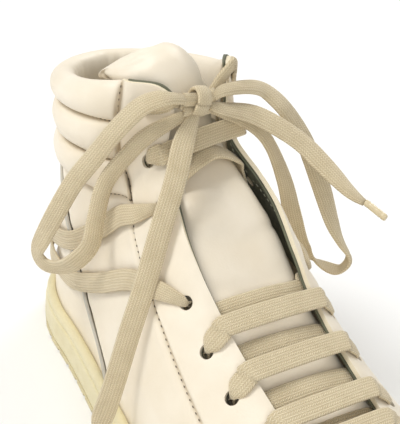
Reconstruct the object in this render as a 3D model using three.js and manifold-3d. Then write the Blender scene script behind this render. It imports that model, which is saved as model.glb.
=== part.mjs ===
// Basketball high top, right shoe: a three.js assembly in millimetres, toe towards +X, up +Z.
// The lateral side is -Y and the medial side is +Y. The ground is at z = 0.
import * as THREE from 'three';
import { mergeVertices } from 'three/addons/utils/BufferGeometryUtils.js';
import loadManifold from 'manifold-3d';

const wasm = await loadManifold();
wasm.setup();

// ---------------------------------------------------------------- driving dimensions
// Heights are set out above a datum plane that lies groundLevel below the ground.
const groundLevel = 11;
const upperLength = 291; // heel to toe of the leather where it leaves the sole
const ballHalfWidth = 50.5; // lateral half width of the leather at the ball of the foot
const collarHeight = 147; // datum to the collar's edge at the heel
const featherHeight = 27; // datum to the line where the leather's shape is set out
const lastingHeight = 21; // datum to the lower edge of the leather, inside the cup sole
const flapRise = 11.4; // the medial flap's corner stands this much higher than the lateral one

const clearance = 0.3; // air between pieces that touch
const skinGap = 0.7; // air between layers that lie on each other
const leather = 1.8;
const counterBoard = 1.2;
const puffBoard = 1.0;
const facingHide = 1.0;
const liningCloth = 1.2;
const rollBulge = 4.4; // how far a collar roll stands out from the leather's surface
const rollBacking = 3.4; // how far a collar roll's foam reaches behind that surface
const topRollBacking = 7.5;
const pipingRelief = 0.7;

const treadThickness = 2.6;
const midsoleTop = 17;
const boardThickness = 2;
const sockThickness = 4.6;
const sockInset = 8.2; // from the leather's surface to the edge of the insole
const randGap = 1.2; // room for the leather between the cup wall and the set-out line
const randWall = 4.2;
const randTop = 31;
const topBandHeight = 4.6;
const topBandStep = 0.7; // the top band is this much thinner than the wall below it
const treadPitch = 12;
const treadGroove = { width: 2.4, depth: 1.2 };
const shank = { length: 96, width: 18, thickness: 1.6, x: 100 };

const laceWidth = 9;
const laceThickness = 1.6;
const laceThroat = 4.4; // width of a lace where it is gathered in an eyelet or in the knot
const eyeletRadius = 2.9;
const aglet = { length: 11, radius: 1.5 };
const heelLoop = { width: 12, thickness: 1.4, below: 8.8, above: 9.3, reach: 5.4 };
const tonguePadding = 6.4;
// From the flap's outer surface down to the tongue's outer surface, past a lace between them.
const tongueDepth = leather + skinGap + facingHide + clearance + laceThickness + 0.195 * laceWidth;

// ---------------------------------------------------------------- the surface of the upper
// One side of the shoe as columns from the heel's centre line to the toe's. Each column is a
// Bezier curve: its foot at the sole, two handles, and its top edge, as x, half width, height.
const net = [
  [[3, 0, 27], [-4, 0, 68], [15, 0, 106], [5, 0, 147]],
  [[8, 16, 27], [2, 17, 68], [19, 14, 106], [10, 17, 147.5]],
  [[20, 26, 27], [16, 28, 68], [28, 23, 106], [21, 28, 149]],
  [[38, 31, 27], [36, 34, 68], [42, 29, 106], [38, 35, 152]],
  [[57, 32.5, 27], [56, 36, 68], [57, 31, 108], [58, 35, 155.5]],
  [[75, 34.5, 27], [75, 37, 68], [73, 32, 110], [77, 27, 159]],
  [[92, 37, 27], [92, 39, 68], [87, 32, 114], [94, 13, 162]],
  [[110, 39.5, 27], [110, 41, 64], [100, 36, 105], [98, 15.4, 139]],
  [[131, 42.5, 27], [131, 44, 60], [126, 40, 98], [125, 22.7, 121]],
  [[156, 46, 27], [156, 48, 52], [154, 42, 84], [153, 22, 100.6]],
  [[184, 49, 27], [184, 51, 48], [182, 42, 72], [179, 21, 87]],
  [[215, 50.5, 27], [216, 53, 44], [210, 42, 64], [203, 20, 78]],
  [[242, 47, 27], [244, 49, 44], [234, 36, 63], [214, 17, 75]],
  [[265, 38.5, 27], [267, 40, 45], [251, 27, 62], [221, 12.5, 73.5]],
  [[282, 26, 27], [284, 27, 46], [264, 19, 62], [226, 8, 73]],
  [[291, 13, 27], [293, 13.5, 47], [270, 10, 62], [229, 4, 72.5]],
  [[294, 0, 27], [297, 0, 47], [272, 0, 62], [230, 0, 72.5]],
];
const netSize = { length: 291, halfWidth: 50.5, feather: 27, collar: 147, heel: 3 };
const toeColumn = net.length - 1;
const lap = 2 * toeColumn; // columns in one trip around the shoe
const flapRiseShare = { 5: 0.26, 6: 1, 7: 0.61, 8: 0.31 };

// A place set out for netSize, carried to the shoe's own sizes.
function fitted([x, y, z]) {
  const stretch = upperLength / netSize.length;
  const widen = ballHalfWidth / netSize.halfWidth;
  const raise = (collarHeight - featherHeight) / (netSize.collar - netSize.feather);
  return new THREE.Vector3(
    netSize.heel + (x - netSize.heel) * stretch,
    y * widen,
    featherHeight + (z - netSize.feather) * raise,
  );
}

function netColumn(index) {
  const mirrored = index < 0 || index > toeColumn;
  const source = net[index < 0 ? -index : index > toeColumn ? lap - index : index];
  return source.map(([x, y, z]) => fitted([x, mirrored ? -y : y, z]));
}

function catmullRom(a, b, c, d, t) {
  const out = new THREE.Vector3();
  for (const axis of ['x', 'y', 'z']) {
    out[axis] = 0.5 * (2 * b[axis] + (c[axis] - a[axis]) * t
      + (2 * a[axis] - 5 * b[axis] + 4 * c[axis] - d[axis]) * t * t
      + (3 * b[axis] - a[axis] - 3 * c[axis] + d[axis]) * t * t * t);
  }
  return out;
}

// station: 0 at the heel, negative along the lateral side, positive along the medial side, and
// lap / 2 at the toe. height: 0 at the sole and 1 at the top edge.
function surfacePoint(station, height) {
  const turn = station > toeColumn ? station - lap : station;
  const side = turn < 0 ? -1 : 1;
  const along = Math.abs(turn);
  const first = Math.min(Math.floor(along), toeColumn - 1);
  const columns = [-1, 0, 1, 2].map((step) => netColumn(first + step));
  const handles = [0, 1, 2, 3].map((row) => catmullRom(...columns.map((column) => column[row]), along - first));
  const down = 1 - height;
  const weights = [down ** 3, 3 * down * down * height, 3 * down * height * height, height ** 3];
  const point = new THREE.Vector3();
  handles.forEach((handle, row) => point.addScaledVector(handle, weights[row]));
  const share = point.x / upperLength;
  if (side > 0) {
    let rise = 0;
    for (const [column, part] of Object.entries(flapRiseShare)) {
      rise += flapRise * part * Math.max(0, 1 - Math.abs(along - column));
    }
    point.z += rise * Math.max(0, 2 * height - 1) ** 1.5;
    const waist = 0.07 * Math.exp(-(((share - 0.395) / 0.137) ** 2)) * down;
    const ball = 0.04 * Math.exp(-(((share - 0.808) / 0.137) ** 2));
    point.y *= 1 - waist + ball;
  }
  const inflare = THREE.MathUtils.smoothstep(share, 0.74, 1.01);
  point.y = point.y * side + 6 * inflare;
  return point;
}

function surfaceNormal(station, height) {
  const step = 0.01;
  const across = surfacePoint(station + step, height).sub(surfacePoint(station - step, height));
  const up = surfacePoint(station, height + step).sub(surfacePoint(station, height - step));
  return up.cross(across).normalize();
}

function onSurface([station, height], offset) {
  return surfacePoint(station, height).addScaledVector(surfaceNormal(station, height), offset);
}

// The height parameter at which a column reaches a level near the sole.
function heightAtLevel(station, level) {
  const rate = (surfacePoint(station, 0.01).z - surfacePoint(station, 0).z) / 0.01;
  return (level - featherHeight) / rate;
}

// ---------------------------------------------------------------- mesh helpers
// Builds a closed mesh and turns it so that its faces point outwards.
function closedMesh(positions, triangles) {
  const geometry = new THREE.BufferGeometry();
  let volume = 0;
  for (let first = 0; first < triangles.length; first += 3) {
    const [a, b, c] = triangles.slice(first, first + 3).map((index) => positions[index]);
    volume += a.dot(b.clone().cross(c));
  }
  if (volume < 0) triangles.reverse();
  geometry.setAttribute('position', new THREE.Float32BufferAttribute(positions.flatMap((p) => [p.x, p.y, p.z]), 3));
  geometry.setIndex(triangles);
  return geometry;
}

function alongCurve(points, straight = points.length === 2) {
  if (straight) {
    return (t) => {
      const first = Math.min(Math.floor(t * (points.length - 1)), points.length - 2);
      const mix = t * (points.length - 1) - first;
      return points[first].map((value, axis) => THREE.MathUtils.lerp(value, points[first + 1][axis], mix));
    };
  }
  const curve = new THREE.SplineCurve(points.map(([a, b]) => new THREE.Vector2(a, b)));
  return (t) => curve.getPoint(t).toArray();
}

// A closed sheet between two grids of points with the same number of columns and rows.
function sheetBetween(outer, inner) {
  const columns = outer.length;
  const rows = outer[0].length;
  const positions = [...outer.flat(), ...inner.flat()];
  const behind = columns * rows;
  const id = (column, row) => column * rows + row;
  const triangles = [];
  const quad = (a, b, c, d) => triangles.push(a, b, c, a, c, d);
  for (let column = 0; column + 1 < columns; column += 1) {
    for (let row = 0; row + 1 < rows; row += 1) {
      const [a, b, c, d] = [id(column, row), id(column, row + 1), id(column + 1, row + 1), id(column + 1, row)];
      quad(a, b, c, d);
      quad(behind + d, behind + c, behind + b, behind + a);
    }
  }
  const rim = [];
  for (let row = 0; row < rows; row += 1) rim.push(id(0, row));
  for (let column = 1; column < columns; column += 1) rim.push(id(column, rows - 1));
  for (let row = rows - 2; row >= 0; row -= 1) rim.push(id(columns - 1, row));
  for (let column = columns - 2; column > 0; column -= 1) rim.push(id(column, 0));
  rim.forEach((start, index) => {
    const end = rim[(index + 1) % rim.length];
    quad(start, behind + start, behind + end, end);
  });
  return closedMesh(positions, triangles);
}

// A panel of the upper. Its four boundary curves are lists of [station, height]; outer and inner
// are offsets from the surface, as numbers or as functions of the panel's own 0-1 coordinates.
function panel({ bottom, top, left, right, straightSides, columns, rows, outer, inner }) {
  const low = alongCurve(bottom);
  const high = alongCurve(top);
  const start = alongCurve(left ?? [bottom[0], top[0]], straightSides);
  const end = alongCurve(right ?? [bottom.at(-1), top.at(-1)], straightSides);
  const corners = [low(0), low(1), high(0), high(1)];
  const place = (u, w) => [0, 1].map((axis) => (1 - w) * low(u)[axis] + w * high(u)[axis]
    + (1 - u) * start(w)[axis] + u * end(w)[axis]
    - (1 - u) * (1 - w) * corners[0][axis] - u * (1 - w) * corners[1][axis]
    - (1 - u) * w * corners[2][axis] - u * w * corners[3][axis]);
  const offset = (value, u, w) => (typeof value === 'function' ? value(u, w) : value);
  const base = [];
  const normals = [];
  for (let column = 0; column <= columns; column += 1) {
    const cells = Array.from({ length: rows + 1 }, (_, row) => place(column / columns, row / rows));
    base.push(cells.map(([station, height]) => surfacePoint(station, height)));
    normals.push(cells.map(([station, height]) => surfaceNormal(station, height)));
  }
  const shrunk = base.map((line, column) => line.map((point, row) => {
    const moved = point.clone();
    const pull = (neighbour) => moved.addScaledVector(neighbour.clone().sub(point).normalize(), clearance);
    if (row === 0) pull(line[1]);
    if (row === rows) pull(line[rows - 1]);
    if (column === 0) pull(base[1][row]);
    if (column === columns) pull(base[columns - 1][row]);
    return moved;
  }));
  const layer = (value) => shrunk.map((line, column) => line.map((point, row) => point.clone()
    .addScaledVector(normals[column][row], offset(value, column / columns, row / rows))));
  return sheetBetween(layer(outer), layer(inner));
}

// Outline of the leather where it leaves the sole, moved outwards in plan.
function soleShape(offset, steps = 52) {
  const points = [];
  for (let index = 0; index < steps; index += 1) {
    const station = (lap * index) / steps;
    const point = surfacePoint(station, 0);
    const ahead = surfacePoint(station + 0.02, 0).sub(surfacePoint(station - 0.02, 0));
    const outward = new THREE.Vector2(-ahead.y, ahead.x).normalize().multiplyScalar(offset);
    points.push(new THREE.Vector2(point.x + outward.x, point.y + outward.y));
  }
  return points;
}

function solePlate(offset, bottom, top) {
  const shape = new THREE.Shape(soleShape(offset));
  const geometry = new THREE.ExtrudeGeometry(shape, { depth: top - bottom, bevelEnabled: false, steps: 1 });
  return geometry.translate(0, 0, bottom);
}

function soleWall(outerOffset, innerOffset, bottom, top) {
  return cutAway(solePlate(outerOffset, bottom, top), [solePlate(innerOffset, bottom - 1, top + 1)]);
}

// A flat woven lace: a rounded section swept along points. faces are the outward directions of
// its flat side and widths its width at each point.
function flatLace(points, faces, widths, steps) {
  const curve = new THREE.CatmullRomCurve3(points, false, 'centripetal');
  const last = points.length - 1;
  const sections = [];
  for (let step = 0; step <= steps; step += 1) {
    const t = step / steps;
    const place = Math.min(t * last, last - 1e-9);
    const from = Math.floor(place);
    const mix = place - from;
    const tangent = curve.getTangent(t);
    const face = faces[from].clone().lerp(faces[from + 1], mix);
    face.addScaledVector(tangent, -face.dot(tangent)).normalize();
    const side = tangent.clone().cross(face);
    const width = THREE.MathUtils.lerp(widths[from], widths[from + 1], mix);
    const centre = curve.getPoint(t);
    sections.push(Array.from({ length: 8 }, (_, corner) => {
      const angle = (Math.PI * (corner + 0.5)) / 4;
      const across = Math.sign(Math.cos(angle)) * Math.abs(Math.cos(angle)) ** 0.35 * 0.5 * width;
      const out = Math.sign(Math.sin(angle)) * Math.abs(Math.sin(angle)) ** 0.9 * 0.5 * laceThickness;
      return centre.clone().addScaledVector(side, across).addScaledVector(face, out);
    }));
  }
  const triangles = [];
  for (let step = 0; step < steps; step += 1) {
    for (let corner = 0; corner < 8; corner += 1) {
      const next = (corner + 1) % 8;
      const [a, b] = [step * 8 + corner, step * 8 + next];
      triangles.push(a, a + 8, b + 8, a, b + 8, b);
    }
  }
  for (let corner = 1; corner < 7; corner += 1) {
    triangles.push(0, corner, corner + 1);
    triangles.push(steps * 8, steps * 8 + corner + 1, steps * 8 + corner);
  }
  return closedMesh(sections.flat(), triangles);
}

function toSolid(geometry) {
  const bare = new THREE.BufferGeometry();
  bare.setAttribute('position', geometry.getAttribute('position').clone());
  if (geometry.index) bare.setIndex(geometry.index.clone());
  const merged = mergeVertices(bare, 1e-4);
  const mesh = new wasm.Mesh({
    numProp: 3,
    vertProperties: new Float32Array(merged.getAttribute('position').array),
    triVerts: new Uint32Array(merged.index.array),
  });
  mesh.merge();
  return new wasm.Manifold(mesh);
}

function fromSolid(solid) {
  const mesh = solid.getMesh();
  const geometry = new THREE.BufferGeometry();
  geometry.setAttribute('position', new THREE.Float32BufferAttribute(mesh.vertProperties, 3));
  geometry.setIndex(new THREE.Uint32BufferAttribute(mesh.triVerts, 1));
  return geometry;
}

function cutAway(geometry, tools) {
  return fromSolid(tools.reduce((solid, tool) => solid.subtract(toSolid(tool)), toSolid(geometry)));
}

// ---------------------------------------------------------------- materials
const finishes = {
  leather: { color: 0xeee5d2, roughness: 0.48 },
  lining: { color: 0xe3d8c2, roughness: 0.85 },
  facing: { color: 0x66664f, roughness: 0.7 },
  lace: { color: 0xcfc09a, roughness: 0.9 },
  rubber: { color: 0xe2d6ae, roughness: 0.55 },
  foam: { color: 0xd9d3c4, roughness: 0.95 },
  board: { color: 0xb79b6c, roughness: 0.9 },
  steel: { color: 0x9a9c9e, roughness: 0.35, metalness: 1 },
  plastic: { color: 0xd8d8d0, roughness: 0.4 },
  stripe: { color: 0xbdb7aa, roughness: 0.35 },
  red: { color: 0xb83f2a, roughness: 0.8 },
};
const materials = Object.fromEntries(Object.entries(finishes)
  .map(([name, finish]) => [name, new THREE.MeshStandardMaterial(finish)]));

const shoe = new THREE.Group();
function add(name, geometry, material) {
  const mesh = new THREE.Mesh(geometry, materials[material]);
  mesh.name = name;
  shoe.add(mesh);
}

// ---------------------------------------------------------------- seams, as [station, height]
const sides = { lateral: -1, medial: 1 };
const mirror = (points, side) => points.map(([station, height]) => [station * side, height]);
const eyestaySeam = [[6.1, 0.68], [6.6, 0.682], [7.1, 0.68], [8.1, 0.655], [9, 0.63], [10, 0.6], [11.2, 0.6], [12.4, 0.64]];
const collarSeam = [[6.1, 0.68], [5.35, 0.79], [5.02, 0.91], [4.95, 1.04]]; // one step for each roll
const stripeSeam = [[6.55, -0.05], [6.1, 0.08], [5, 0.19], [4.1, 0.31], [3.4, 0.45], [2.7, 0.57], [2.25, 0.66]];
const stripeWidth = 0.26; // in stations
const rollSeams = [0.66, 0.79, 0.915, 1.0]; // heights of the collar's seams at the heel
const toeSeamShare = 0.75; // how far up the vamp's rear seam the toe overlay reaches
const lowEdge = (station) => [station, heightAtLevel(station, lastingHeight)];
const lowLine = (from, to, count) => Array.from({ length: count + 1 }, (_, index) => {
  const station = THREE.MathUtils.lerp(from, to, index / count);
  return lowEdge(station);
});

// ---------------------------------------------------------------- outer panels
const vampSeam = [lowEdge(11.3), eyestaySeam.at(-1)];
const toeSeamCorner = vampSeam[0].map((value, axis) => THREE.MathUtils.lerp(value, vampSeam[1][axis], toeSeamShare));

// One edge of the stripe: share is -0.5 for its rear edge and 0.5 for its front edge.
function stripeEdge(share) {
  return stripeSeam.map(([station, height], index) => {
    const moved = station + share * stripeWidth;
    return index ? [moved, height] : lowEdge(moved);
  });
}

// The collar's lowest seam climbs a little towards the eyestay panels.
function collarBase(station) {
  const climb = THREE.MathUtils.smoothstep(Math.abs(station), stripeSeam.at(-1)[0], collarSeam[0][0]);
  return [station, THREE.MathUtils.lerp(rollSeams[0], collarSeam[0][1], climb)];
}

function addHeelPanel() {
  const rise = stripeEdge(-0.5);
  const top = [-1, -0.5, 0, 0.5, 1].map((share) => collarBase(share * rise.at(-1)[0]));
  add('heel_panel', panel({
    bottom: lowLine(-rise[0][0], rise[0][0], 8),
    top,
    left: mirror(rise, -1),
    right: rise,
    columns: 20,
    rows: 8,
    outer: 0,
    inner: -leather,
  }), 'leather');
}

function addSidePanels(name, side) {
  add(`stripe_${name}`, panel({
    bottom: mirror(stripeEdge(-0.5), side),
    top: mirror(stripeEdge(0.5), side),
    columns: 8,
    rows: 1,
    outer: pipingRelief,
    inner: -leather,
  }), 'stripe');
  const front = stripeEdge(0.5);
  const quarterTop = [...[front.at(-1)[0], 3.6, 4.9].map(collarBase), ...eyestaySeam];
  add(`quarter_${name}`, panel({
    bottom: mirror(lowLine(front[0][0], vampSeam[0][0], 6), side),
    top: mirror(quarterTop, side),
    left: mirror(front, side),
    right: mirror(vampSeam, side),
    columns: 18,
    rows: 8,
    outer: 0,
    inner: -leather,
  }), 'leather');
  addEyestay(name, side);
}

// Eyelets from the collar's corner down to the throat, as [station, height].
const eyelets = [[5.5, 0.95], [6.15, 0.82], [7.35, 0.88], [8.6, 0.85], [9.25, 0.84], [9.95, 0.84], [10.75, 0.84],
  [11.7, 0.85]];

function eyeletTools(side) {
  return mirror(eyelets, side).map((place) => {
    const drill = new THREE.CylinderGeometry(eyeletRadius, eyeletRadius, 12, 10);
    const normal = surfaceNormal(...place);
    drill.applyQuaternion(new THREE.Quaternion().setFromUnitVectors(new THREE.Vector3(0, 1, 0), normal));
    const centre = surfacePoint(...place);
    return drill.translate(centre.x, centre.y, centre.z);
  });
}

function addEyestay(name, side) {
  const edge = [collarSeam.at(-1), [5.45, 1.025], [6, 1], [7, 1], [8, 1], [9, 1], [10, 1], [11.2, 1], [12.4, 1]];
  const flap = panel({
    bottom: mirror(eyestaySeam, side),
    top: mirror(edge, side),
    left: mirror(collarSeam, side),
    right: mirror([eyestaySeam.at(-1), edge.at(-1)], side),
    columns: 20,
    rows: 6,
    outer: 0,
    inner: -leather,
  });
  add(`eyestay_${name}`, cutAway(flap, eyeletTools(side)), 'leather');
  const facing = panel({
    bottom: mirror(eyestaySeam.map(([station, height]) => [station, height + 0.03]), side),
    top: mirror(edge, side),
    left: mirror(collarSeam.map(([station, height]) => [station + 0.1, height]), side),
    right: mirror([[12.4, 0.67], [12.4, 1]], side),
    columns: 20,
    rows: 4,
    outer: -leather - skinGap,
    inner: -leather - skinGap - facingHide,
  });
  add(`eyestay_facing_${name}`, cutAway(facing, eyeletTools(side)), 'facing');
}

function addFront() {
  const opposite = ([station, height]) => [lap - station, height];
  const [corner, height] = toeSeamCorner;
  const toeSeam = [corner, 12.4, 13.4, 14.6, 16, 17.4, 18.6, 19.6, lap - corner].map((station) => [station, height]);
  add('toe_overlay', panel({
    bottom: lowLine(vampSeam[0][0], lap - vampSeam[0][0], 10),
    top: toeSeam,
    columns: 24,
    rows: 6,
    outer: 0,
    inner: -leather,
  }), 'leather');
  const rear = [toeSeamCorner, eyestaySeam.at(-1), [eyestaySeam.at(-1)[0], 1]];
  add('vamp', panel({
    bottom: toeSeam,
    top: [rear[2], ...[12.9, 14, 15, 16, 17, 18, 19.1].map((station) => [station, 1]), opposite(rear[2])],
    left: rear,
    right: rear.map(opposite),
    straightSides: true,
    columns: 22,
    rows: 6,
    outer: 0,
    inner: -leather,
  }), 'leather');
}

const seamTuck = 0.98; // the lowest roll's corner stops this short of the three-way seam

// A padded roll of the collar between two seams, rounded between them and flatter at its ends.
function addCollarRolls() {
  const seamEnd = alongCurve(collarSeam);
  const names = ['collar_roll_lower', 'collar_roll_middle', 'collar_roll_top'];
  names.forEach((name, index) => {
    const seam = (level) => {
      const [station, height] = collarSeam[level];
      return [-1, -0.75, -0.5, -0.25, 0, 0.25, 0.5, 0.75, 1].map((share) => [
        share * station, THREE.MathUtils.lerp(rollSeams[level], height, share ** 4)]);
    };
    const end = [0, 1, 2, 3].map((part) => seamEnd((index + part / 3) / names.length));
    if (index === 0) end[0] = collarBase(seamTuck * end[0][0]);
    const isTop = index === names.length - 1;
    const round = (w) => Math.sqrt(Math.max(0, 1 - (2 * w - 1) ** 2));
    const topRound = (w) => (w < 0.5 ? round(w) : Math.cos((w - 0.5) * Math.PI) ** 0.6);
    const taper = (u) => 1 - 0.7 * Math.abs(2 * u - 1) ** 8;
    add(name, panel({
      bottom: index ? seam(index) : seam(0).map(([station]) => collarBase(seamTuck * station)),
      top: seam(index + 1),
      left: mirror(end, -1),
      right: end,
      columns: 20,
      rows: 6,
      outer: (u, w) => rollBulge * taper(u) * (isTop ? topRound(w) : round(w)) - 0.4,
      inner: (u, w) => (isTop ? -rollBacking - (topRollBacking - rollBacking) * taper(u)
        * Math.sin(Math.PI * w) ** 0.7 : -rollBacking),
    }), 'leather');
  });
}

// ---------------------------------------------------------------- hidden layers
const counterFace = leather + skinGap;
const liningFace = counterFace + counterBoard + skinGap;

function addHiddenLayers() {
  add('heel_counter', panel({
    bottom: lowLine(-4.2, 4.2, 8),
    top: [-4, -2, 0, 2, 4].map((station) => [station, 0.42]),
    columns: 20,
    rows: 6,
    outer: -counterFace,
    inner: -counterFace - counterBoard,
  }), 'plastic');
  add('toe_puff', panel({
    bottom: lowLine(13.2, 18.8, 6),
    top: [13.6, 14.8, 16, 17.2, 18.4].map((station) => [station, 0.7]),
    columns: 16,
    rows: 6,
    outer: -counterFace,
    inner: -counterFace - puffBoard,
  }), 'plastic');
  add('collar_lining', panel({
    bottom: lowLine(-5, 5, 8),
    top: [-4.85, -2.5, 0, 2.5, 4.85].map((station) => [station, 0.895]),
    columns: 20,
    rows: 8,
    outer: -liningFace,
    inner: -liningFace - liningCloth,
  }), 'lining');
  const top = [[5.15, 0.6], [7, 0.6], [9, 0.56], [11.5, 0.55], [13.2, 0.94], [16, 0.96], [18.8, 0.94], [20.5, 0.55],
    [23, 0.56], [25, 0.6], [26.85, 0.6]];
  add('forefoot_lining', panel({
    bottom: lowLine(5.15, 26.85, 20),
    top,
    columns: 34,
    rows: 5,
    outer: -liningFace,
    inner: -liningFace - liningCloth,
  }), 'lining');
}

// ---------------------------------------------------------------- tongue
// Rows from the sewn end under the vamp to the collar. Each row has its outermost place under
// the flap and its place under the flap's edge, both as [station, height], and its fullness.
const tongueRows = [
  { outside: [13.3, 0.82], edge: [14.6, 0.92], full: 0.4 },
  { outside: [12, 0.8], edge: [12.5, 0.97], full: 0.75 },
  { outside: [11, 0.77], edge: [11.3, 0.97], full: 0.95 },
  { outside: [9.9, 0.76], edge: [10.2, 0.97], full: 1 },
  { outside: [8.8, 0.76], edge: [9.2, 0.97], full: 1 },
  { outside: [7.9, 0.76], edge: [8.4, 0.97], full: 1 },
  { outside: [6.9, 0.78], edge: [7.7, 0.97], full: 1 },
  { outside: [6.1, 0.84], edge: [7.1, 0.96], full: 0.8 },
];
// Rows of the puffed free end, which bows around the shin and leans to the lateral side. front is
// the foremost x, the bows are how far its sides lie behind that, and droop is how far they hang
// below its middle.
const tongueFreeRows = [
  { front: 88, bows: [13, 13], shift: 0, halfWidth: 16, level: 146, droop: -2, lean: 1, full: 1.15 },
  { front: 86.5, bows: [17, 15], shift: -1.6, halfWidth: 17.3, level: 153, droop: 0, lean: 0.5, full: 1.4 },
  { front: 82.5, bows: [20, 17], shift: -3.6, halfWidth: 18, level: 160, droop: 3, lean: -0.5, full: 1.7 },
  { front: 78.5, bows: [21, 18], shift: -5.4, halfWidth: 17.8, level: 166, droop: 7, lean: 0.4, full: 1.75 },
  { front: 74, bows: [20.5, 18.5], shift: -6.8, halfWidth: 17.2, level: 170, droop: 11, lean: 2, full: 1.55 },
  { front: 70, bows: [19.5, 18], shift: -7.8, halfWidth: 16.4, level: 172.4, droop: 14, lean: 3.2, full: 0.95 },
  { front: 68.5, bows: [19, 17.5], shift: -8, halfWidth: 15.9, level: 173.1, droop: 14.8, lean: 3.6, full: 0.35 },
];
const tongueShares = [-1, -0.78, -0.5, -0.25, 0, 0.25, 0.5, 0.78, 1];
const tongueLiningGap = 2.4;

function tongueCentres() {
  const attached = tongueRows.map(({ outside, edge }) => {
    const depth = tongueDepth + tonguePadding / 2;
    const [lateralEdge, medialEdge] = [-1, 1].map((side) => onSurface([edge[0] * side, edge[1]], -depth));
    const [lateralSide, medialSide] = [-1, 1].map((side) => onSurface([outside[0] * side, outside[1]], -depth));
    const middle = lateralEdge.clone().add(medialEdge).multiplyScalar(0.5);
    const arch = new THREE.CatmullRomCurve3([lateralSide, lateralEdge, middle, medialEdge, medialSide]);
    return tongueShares.map((share) => arch.getPoint((share + 1) / 2));
  });
  const free = tongueFreeRows.map(({ front, bows, shift, halfWidth, level, droop, lean }) => tongueShares.map(
    (share) => fitted([
      front - bows[share < 0 ? 0 : 1] * share ** 2,
      shift + halfWidth * share,
      level - droop * share ** 2 + lean * share,
    ]),
  ));
  return [...attached, ...free];
}

function addTongue() {
  const centres = tongueCentres();
  const fulls = [...tongueRows, ...tongueFreeRows].map(({ full }) => full);
  const normalAt = (row, column) => {
    const along = centres[Math.min(row + 1, centres.length - 1)][column].clone()
      .sub(centres[Math.max(row - 1, 0)][column]);
    const across = centres[row][Math.min(column + 1, tongueShares.length - 1)].clone()
      .sub(centres[row][Math.max(column - 1, 0)]);
    return along.cross(across).normalize().negate();
  };
  const fullness = (row, column) => 0.5 * tonguePadding * fulls[row]
    * Math.sqrt(1 - 0.8 * tongueShares[column] ** 2);
  const layer = (from, share) => centres.map((line, row) => line.map((point, column) => point.clone()
    .addScaledVector(normalAt(row, column), from + share * fullness(row, column))));
  add('tongue', sheetBetween(layer(0, 1), layer(0, -1)), 'leather');
  const behind = layer(-tongueLiningGap, -1);
  const back = layer(-tongueLiningGap - facingHide, -1);
  add('tongue_lining', sheetBetween(behind, back), 'lining');
}

// ---------------------------------------------------------------- sole
function addSole() {
  const wallOuter = randGap + randWall;
  const treadTop = groundLevel + treadThickness;
  const grooves = [];
  for (let x = 3 * treadPitch; x < upperLength - treadPitch; x += treadPitch) {
    const cutter = new THREE.BoxGeometry(treadGroove.width, 4 * ballHalfWidth, 2 * treadGroove.depth);
    grooves.push(cutter.translate(x, 0, groundLevel));
  }
  add('outsole_tread', cutAway(solePlate(wallOuter, groundLevel, treadTop), grooves), 'rubber');
  const wallBottom = treadTop + clearance;
  const wallTop = randTop - topBandHeight - clearance;
  add('sidewall_rand', soleWall(wallOuter, randGap, wallBottom, wallTop), 'rubber');
  add('rand_top_band', soleWall(wallOuter - topBandStep, randGap, randTop - topBandHeight, randTop), 'rubber');
  const pocket = new THREE.BoxGeometry(
    shank.length + 2 * clearance, shank.width + 2 * clearance, 2 * (shank.thickness + 2 * clearance));
  pocket.translate(shank.x, 0, midsoleTop);
  add('midsole_core', cutAway(solePlate(randGap - clearance, wallBottom, midsoleTop), [pocket]), 'foam');
  const plate = new THREE.BoxGeometry(shank.length, shank.width, shank.thickness);
  plate.translate(shank.x, 0, midsoleTop - clearance - shank.thickness / 2);
  add('shank', plate, 'steel');
  const boardBottom = midsoleTop + clearance;
  add('insole_board', solePlate(randGap - clearance, boardBottom, boardBottom + boardThickness), 'board');
  const sockBottom = boardBottom + boardThickness + clearance;
  add('sockliner', solePlate(-sockInset, sockBottom, sockBottom + sockThickness), 'foam');
}

// ---------------------------------------------------------------- heel loop
const wrapNarrowing = 0.62; // share of its width that a lace band keeps under the heel loop
const wrapMiddle = 0.25; // the two bands cross the heel above and below this height
const wrapSpread = (wrapNarrowing * laceWidth + 1.4) / 2 / (collarHeight - featherHeight);

function addHeelLoop() {
  const { width, thickness, reach } = heelLoop;
  const low = surfacePoint(0, wrapMiddle - wrapSpread).z - heelLoop.below;
  const high = surfacePoint(0, wrapMiddle + wrapSpread).z + heelLoop.above;
  const heights = [0.1, 0.15, 0.2, 0.25, 0.3, 0.35, 0.4];
  const face = Math.min(...heights.map((height) => surfacePoint(0, height).x)) - clearance;
  const outline = new THREE.Shape([
    new THREE.Vector2(face, low), new THREE.Vector2(face - reach, low + 4),
    new THREE.Vector2(face - reach, high - 4), new THREE.Vector2(face, high),
    new THREE.Vector2(face, high - thickness), new THREE.Vector2(face - reach + thickness, high - 4 - thickness),
    new THREE.Vector2(face - reach + thickness, low + 4 + thickness), new THREE.Vector2(face, low + thickness),
  ]);
  const geometry = new THREE.ExtrudeGeometry(outline, { depth: width, bevelEnabled: false, steps: 1 });
  geometry.rotateX(Math.PI / 2).translate(0, width / 2, 0);
  add('heel_loop', geometry, 'red');
}

// ---------------------------------------------------------------- laces held by the shoe
const rideHeight = laceThickness / 2 + clearance + 0.25;
const outwards = (place) => surfaceNormal(...place);

// The top bar rides higher where the flaps curve most.
const topBarSlack = laceWidth * upperLength / 1800;

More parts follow.
